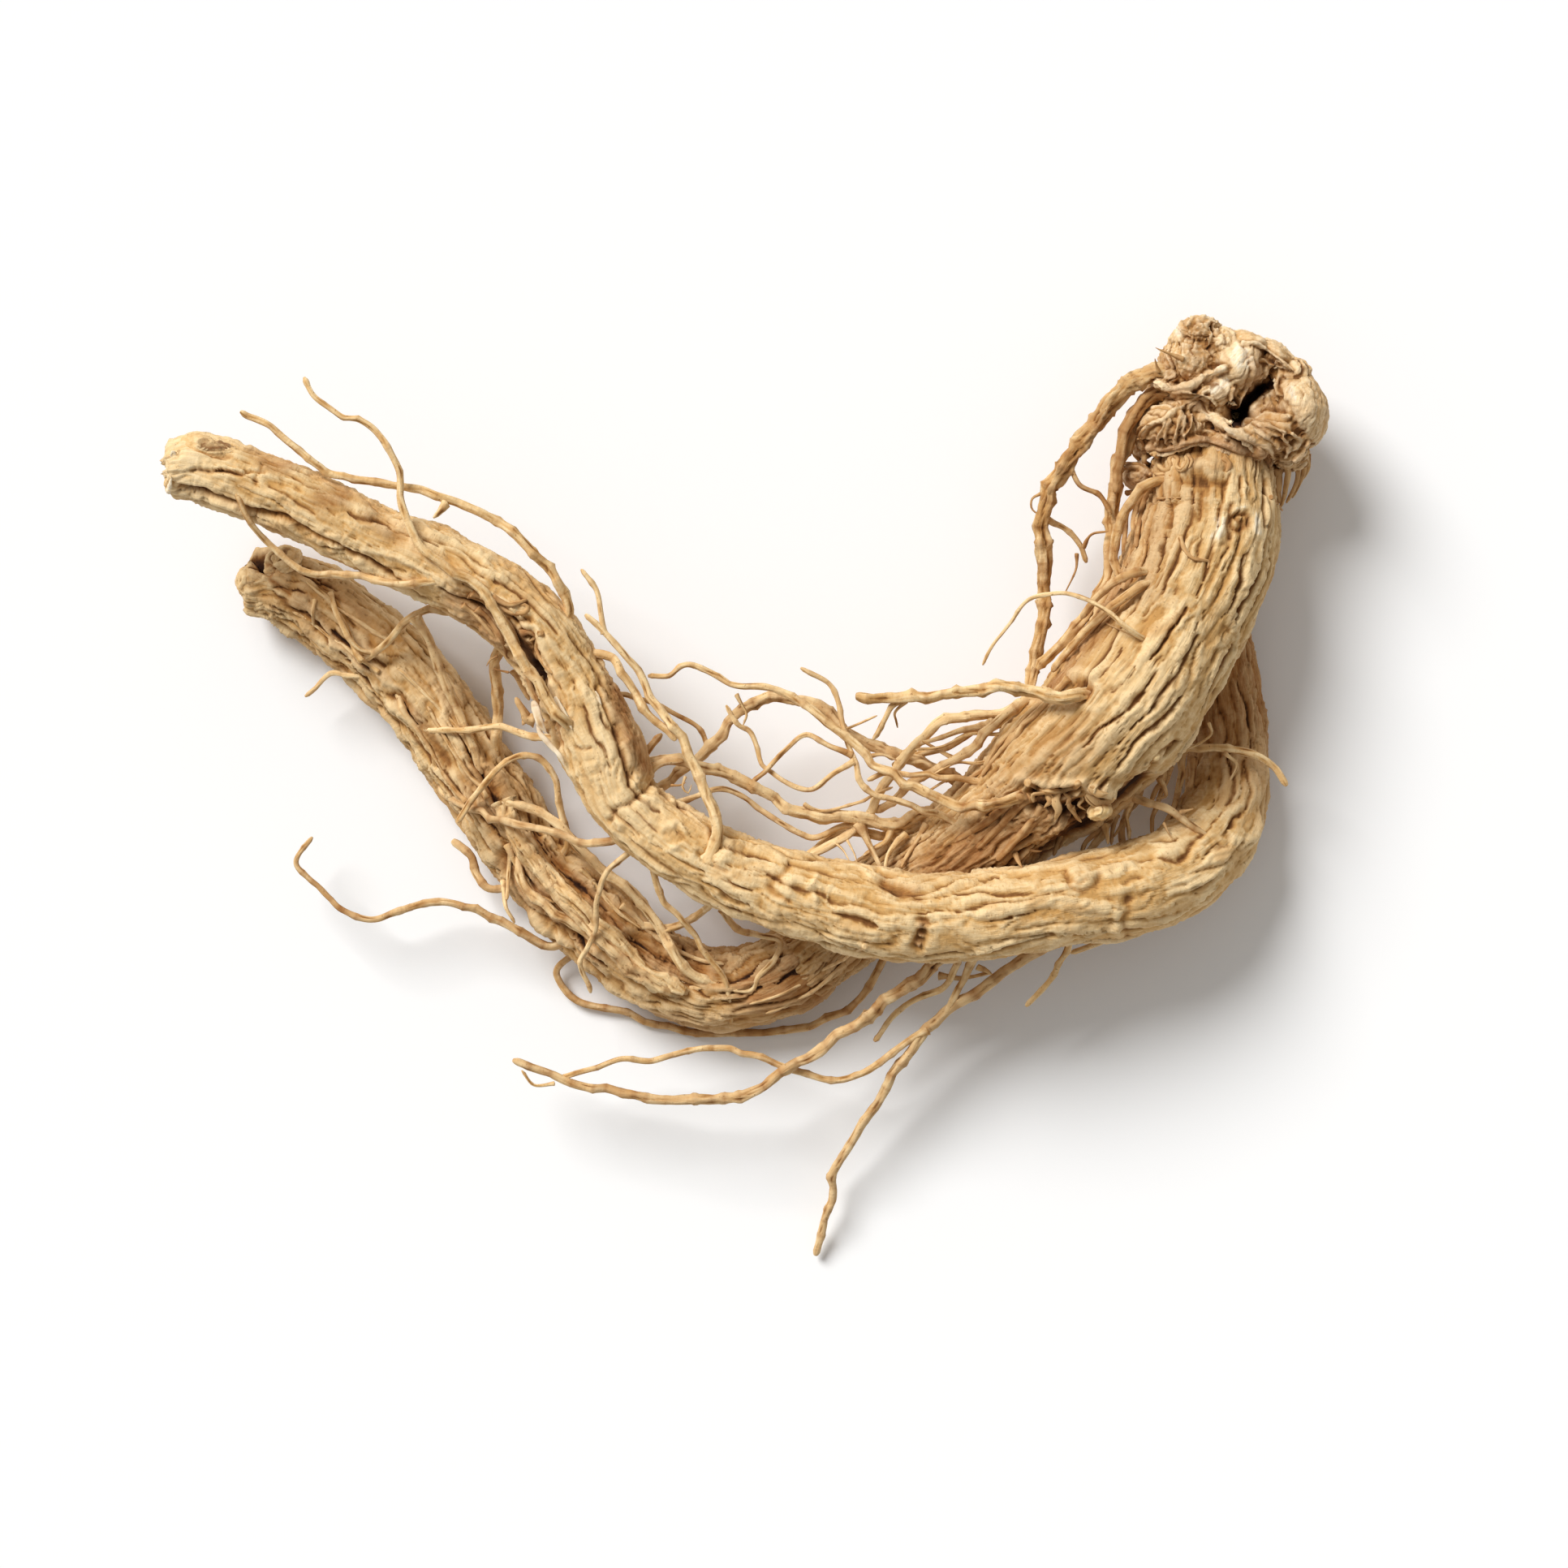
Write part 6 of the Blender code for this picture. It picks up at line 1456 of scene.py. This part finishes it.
KNEE_FIBRES = [
    # torn fibres in the hollow beside the knee
    (1.1, 0.7, [(-46.2, 28.2), (-43.4, 26.2), (-41.2, 24.4), (-39.8, 21.6), (-38.9, 18.8)]),
    (0.9, 0.6, [(-44.6, 27.8), (-42.2, 26.4), (-40.2, 25.2), (-38.4, 25.3), (-38, 26.2), (-38.9, 26.4)]),
    (0.8, 0.5, [(-43, 27.6), (-40.8, 26.6), (-39.2, 26.9), (-38.2, 27.3)]),
    (0.8, 0.5, [(-45.4, 25.8), (-43.4, 23.8), (-41.8, 21.4), (-40.8, 18.6)]),
    (0.7, 0.5, [(-47.4, 26.4), (-45.2, 24.6), (-43.2, 22.2), (-41.6, 20.4)]),
    (1.3, 0.9, [(-36.4, 15.4), (-35.6, 13.4), (-34.4, 11.6), (-33, 10.4)]),
    (0.8, 0.5, [(-37.8, 16.4), (-37.2, 13.6), (-36.2, 11.2), (-35.4, 8.8)]),
    (0.8, 0.5, [(-36, 22.4), (-36.7, 20.6), (-36.5, 18.8), (-35.2, 17.2), (-34.4, 16.4)]),
    (0.7, 0.5, [(-38.8, 22.4), (-37.7, 22.6), (-37, 21.9), (-37.6, 21.3)]),
    (0.9, 0.6, [(-35, 8.8), (-34.6, 6.8), (-33.6, 4.6)]),
    (1.4, 0.8, [(-37, 9.4, 20), (-38.2, 9.6, 20.2), (-38.8, 10.8, 20.4), (-39.8, 12.6, 20.6)]),
    (0.6, 0.4, [(-38.4, 9.2, 20), (-38.6, 8.8, 19.6)]),
    (0.9, 0.7, [(-40, 16.8), (-39, 14.6), (-37.6, 12.6)]),
    (0.3, 0.2, [(-40.8, 16.5, 19.6), (-42.4, 16.9, 19.6), (-42.9, 17.1, 19.6)]),
    (0.3, 0.2, [(-42.4, 18.9, 19.8), (-43.4, 18.3, 19.6), (-43.9, 17.5, 19.4)]),
]
TAIL_THREADS = [
    (2.4, 1.9, [(-41.6, -2.6), (-39, -8.6), (-34.6, -13.8), (-29.8, -18.6), (-25, -23.2), (-20, -27.6),
        (-14.6, -30.4)], 1, -0.45),
    (0.5, 0.4, [(-34, -44.3, 10.8), (-37, -44.6, 10.8), (-38.8, -42.5, 10.9)]),
    (0.7, 0.5, [(22.9, -28.4, 16), (27.5, -28.6, 16.4), (30.6, -28.2, 17)]),
    (0.7, 0.5, [(28.6, -27.1, 17), (30.6, -28.2, 17)]),
    (0.8, 0.6, [(-11.3, -18.2, 15.8), (-14.4, -20.5, 14), (-17.4, -21.6, 12.8)]),
    (1, 0.7, [(-9, -18.5, 17), (-6.6, -21.6, 15), (-3.6, -22.2, 14), (-0.6, -23.2, 13.4),
        (-1.6, -25.9, 12.8), (-3.9, -28.3, 12.4), (-4.9, -30.3, 12), (-7.6, -30.3, 12)]),
    (0.8, 0.5, [(-62.4, 18.2, 13.6), (-63.7, 20.5, 13.2), (-64.9, 23.3, 12.6), (-66.5, 26.1, 12)]),
    (1, 0.6, [(-50, 41.4, 26.6), (-50.9, 40.4, 27.2), (-51.8, 39.5, 27.6)]),
    (0.8, 0.5, [(-41, -9), (-38.6, -13.4), (-36.6, -16.2), (-34, -17.4)], 1, 0.2),
    (0.8, 0.6, [(-40, -8), (-40.5, -12), (-41, -17)]),
    (0.7, 0.5, [(-41.5, -14.5), (-41.2, -17.5), (-40, -20.5)]),
    (0.8, 0.6, [(-24, -18), (-19, -22.6), (-14, -25.4), (-9, -26.8)]),
    (0.7, 0.5, [(-30, -12.6), (-26, -17.4), (-21.4, -21.4)]),
    (0.7, 0.5, [(-44, -2), (-47.4, 2.6), (-50.4, 7.4), (-52.6, 11.4)]),
    (0.7, 0.5, [(-47, -2.6), (-50.2, 1.4), (-53, 6.2), (-56, 10.6)]),
    (0.8, 0.6, [(-46, 5), (-49.4, 9.6), (-53.6, 13.8), (-57, 17.2)]),
    (0.6, 0.4, [(-58, 21), (-62, 23.4), (-66.6, 26.6), (-70.4, 30)]),
    (0.6, 0.4, [(-60, 16.6), (-64.4, 19.8), (-69, 23.2), (-72.6, 25.4)]),
    (0.5, 0.3, [(-69.4, 27.2), (-69.8, 25.4), (-69.6, 23.4)]),
    (0.4, 0.2, [(6, -20.6, 13), (8, -22.6, 12.4), (7.6, -24.8, 12)]),
    (0.6, 0.4, [(12, -24), (6, -27.4), (0, -30.8), (-5, -32.4)]),
    (0.6, 0.4, [(9, -26.6), (3.6, -31), (-2.6, -33.8)]),
]
PALE_FLAKES = [
    # the white papery bits at the knee, thin and flat
    (1.3, 0.9, [(-37, 12.2, 24.2), (-36.9, 10.8, 25), (-36.2, 9.2, 25.6), (-35.2, 7.6, 25.6)], 0.3),
    (1, 0.6, [(-36.4, 8.8, 24.4), (-36, 7.2, 25), (-34.8, 5.6, 25.2), (-33.4, 4.2, 25.4),
        (-32.6, 2.6, 25.2)], 0.3),
    (1, 0.7, [(-33.8, 12.8), (-33.2, 11.4), (-32.2, 9.8), (-31.4, 8.2)], 0.25),
    (0.7, 0.4, [(-27.9, 13.6, 26.8), (-27.5, 12.6, 27.1), (-27.1, 11.6, 27.1)], 0.35),
    (0.9, 0.6, [(-91, 47.8, 24.6), (-90, 47.2, 25), (-88.8, 47.4, 25.4)], 0.4),
    (0.8, 0.5, [(-91.2, 46, 24.2), (-90.2, 45.6, 24.8), (-89, 45.8, 25.2)], 0.4),
    (0.9, 0.6, [(-90.8, 48.8, 24.2), (-89.8, 49, 24.8), (-88.6, 48.8, 25.2)], 0.4),
]
fibre_skin = bark_material(
    "fibre_skin",
    cream=(0.74, 0.50, 0.245), tan=(0.53, 0.295, 0.11), ochre=(0.43, 0.205, 0.06),
    brown=(0.18, 0.07, 0.019), deep_shade=(0.05, 0.016, 0.005), patches=0.6, specks=0.5, bump=0.5,
)
rootlets("crown_fibres", CROWN_FIBRES, fibre_skin, 5100)
rootlets("flank_fibres", FLANK_FIBRES, fibre_skin, 5600)
rootlets("crook_threads", CROOK_THREADS, rootlet_skin, 6100)
rootlets("waste_strands", WASTE_STRANDS, fibre_skin, 6600)
rootlets("knee_fibres", KNEE_FIBRES, fibre_skin, 7100)
rootlets("tail_threads", TAIL_THREADS, rootlet_skin, 7600)
pale_skin = bark_material(
    "pale_skin",
    cream=(0.93, 0.82, 0.62), tan=(0.82, 0.66, 0.43), ochre=(0.72, 0.50, 0.26),
    brown=(0.45, 0.27, 0.12), deep_shade=(0.2, 0.1, 0.04), patches=0.2, specks=0.2, bump=0.4,
)
rootlets("pale_flakes", PALE_FLAKES, pale_skin, 8100)
